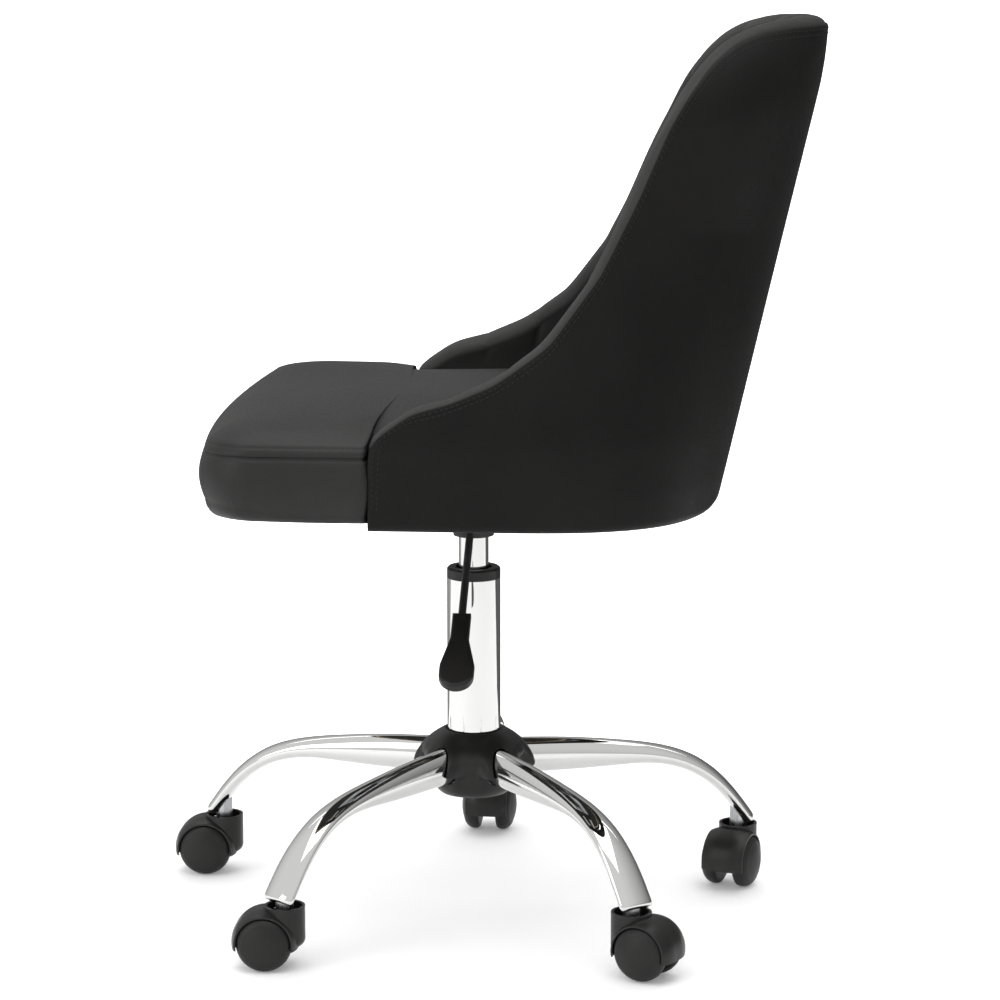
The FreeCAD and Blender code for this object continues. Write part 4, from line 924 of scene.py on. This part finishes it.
def stitched(name, lines):
    """One piece of all the stitches along some lines of the seat's leather."""
    paths = []
    for line in lines:
        paths += stitch_paths(line)
    piece(wires(name, paths, THREAD_RADIUS), "seat", "leather", look=THREAD)


def cushion_stitch_line():
    """The stitch line above the boxing's seam, from one notch round the front to the other."""
    level = (SEAM_Z + STITCH_RISE) * MM
    line = next(ring for ring in rings if abs(ring[0][2] - level) < 0.0003).copy()
    line[:, 2] -= 0.00025
    ahead = line[:, 1] < (CUSHION["notch"] - 1) * MM
    start = int(np.argmax(~ahead))
    order = np.roll(line, -start, axis=0)
    return order[np.roll(ahead, -start)]


def rim_stitch_line(below, inset=-0.1):
    """A stitch line a little below the tub's seam: up one wing's front, along the rim and down again."""
    line = []
    for z in np.arange(410, 478, 3):
        line.append(tub_point(-1 + 0.0027 * below, z, inset))
    for u in COLUMNS[4:-4]:
        line.append(tub_point(u, column_top(u, 0, seam_drop(u) + below), inset))
    for z in np.arange(478, 410, -3):
        line.append(tub_point(1 - 0.0027 * below, z, inset))
    return np.array(line) * MM


stitched("seat_top_stitch", [cushion_stitch_line()])
stitched("rim_stitch", [rim_stitch_line(4.0), rim_stitch_line(8.5)])


# ---------------------------------------------------------------- set, light and camera

def stage_strip(name, profile, glow, shade=0.93):
    """One pale strip of the set, drawn out across the view; glow lifts its shadows."""
    points = [(x, y, z) for x, z in profile for y in (-9.0, 9.0)]
    strip = mesh_object(name, points, grid_faces(len(profile), 2))
    made, tree, shader = material(name, (shade,) * 3, 0.7, Emission_Color=(1, 1, 1, 1),
                                  Emission_Strength=glow)
    cloud, _ = object_noise(tree, 1.2, 2)
    tint(tree, shader, cloud, (shade - 0.01,) * 3, (shade + 0.01,) * 3)
    strip.data.materials.append(made)
    return strip


def stage_floor():
    """A pale floor that runs up into a backdrop; the polished parts don't see its far end."""
    near, join, bend, radius = 9.0, -0.5, -3.0, 2.0
    stage_strip("studio_floor", [(near, 0.0), (join, 0.0)], 0.14)
    profile = [(join, 0.0), (bend, 0.0)]
    for turn in np.linspace(0, math.pi / 2, 12)[1:]:
        profile.append((bend - radius * math.sin(turn), radius - radius * math.cos(turn)))
    profile.append((bend - radius, 6.0))
    backdrop = stage_strip("studio_backdrop", profile, 0.62)
    backdrop.visible_glossy = False


def area_light(name, place, target, wide, tall, power):
    """A soft rectangular light at a place, aimed at a target."""
    lamp = bpy.data.lights.new(name, "AREA")
    lamp.shape = "RECTANGLE"
    lamp.size, lamp.size_y = wide, tall
    lamp.energy = power
    obj = bpy.data.objects.new(name, lamp)
    obj.location = place
    obj.rotation_euler = (Vector(target) - Vector(place)).to_track_quat("-Z", "Y").to_euler()
    bpy.context.collection.objects.link(obj)


def studio_world():
    """Bright above and in front, dark behind, so metal is light with thin dark edges."""
    world = bpy.data.worlds.new("studio")
    world.use_nodes = True
    tree = world.node_tree
    place = tree.nodes.new("ShaderNodeTexCoord")
    facing = tree.nodes.new("ShaderNodeVectorMath")
    facing.operation = "DOT_PRODUCT"
    facing.inputs[1].default_value = (0.61, -0.43, 0.67)
    tree.links.new(place.outputs["Generated"], facing.inputs[0])
    shade = ramp(tree, facing.outputs["Value"], -1, 1, 0, 1)
    colours = tree.nodes.new("ShaderNodeValToRGB")
    tree.links.new(shade, colours.inputs["Fac"])
    tree.links.new(colours.outputs["Color"], tree.nodes["Background"].inputs["Color"])
    marks = colours.color_ramp.elements
    marks[0].position, marks[0].color = 0.2, (0.14, 0.14, 0.14, 1)
    marks[1].position, marks[1].color = 0.85, (0.9, 0.9, 0.9, 1)
    for position, level in ((0.3, 0.28), (0.5, 0.55), (0.7, 0.8)):
        mark = marks.new(position)
        mark.color = (level, level, level, 1)
    bpy.context.scene.world = world


stage_floor()
studio_world()
area_light("overhead", (0.2, 0.0, 3.4), (0, 0, 0), 3.2, 3.2, 62)
area_light("front_left", (2.2, -2.6, 1.8), (0, 0, 0.5), 1.4, 1.8, 24)
area_light("backdrop", (-2.0, 0.0, 3.4), (-5, 0, 1.0), 5.0, 1.5, 90)

camera_data = bpy.data.cameras.new("camera")
camera_data.lens = 125.4
camera_data.sensor_width = 36
camera = bpy.data.objects.new("camera", camera_data)
camera.location = (3.16072, 0.26649, 0.98278)
camera.rotation_euler = Vector((-0.97980, -0.07502, -0.18535)).to_track_quat("-Z", "Y").to_euler()
bpy.context.collection.objects.link(camera)
bpy.context.scene.camera = camera
bpy.context.scene.view_settings.view_transform = "Standard"
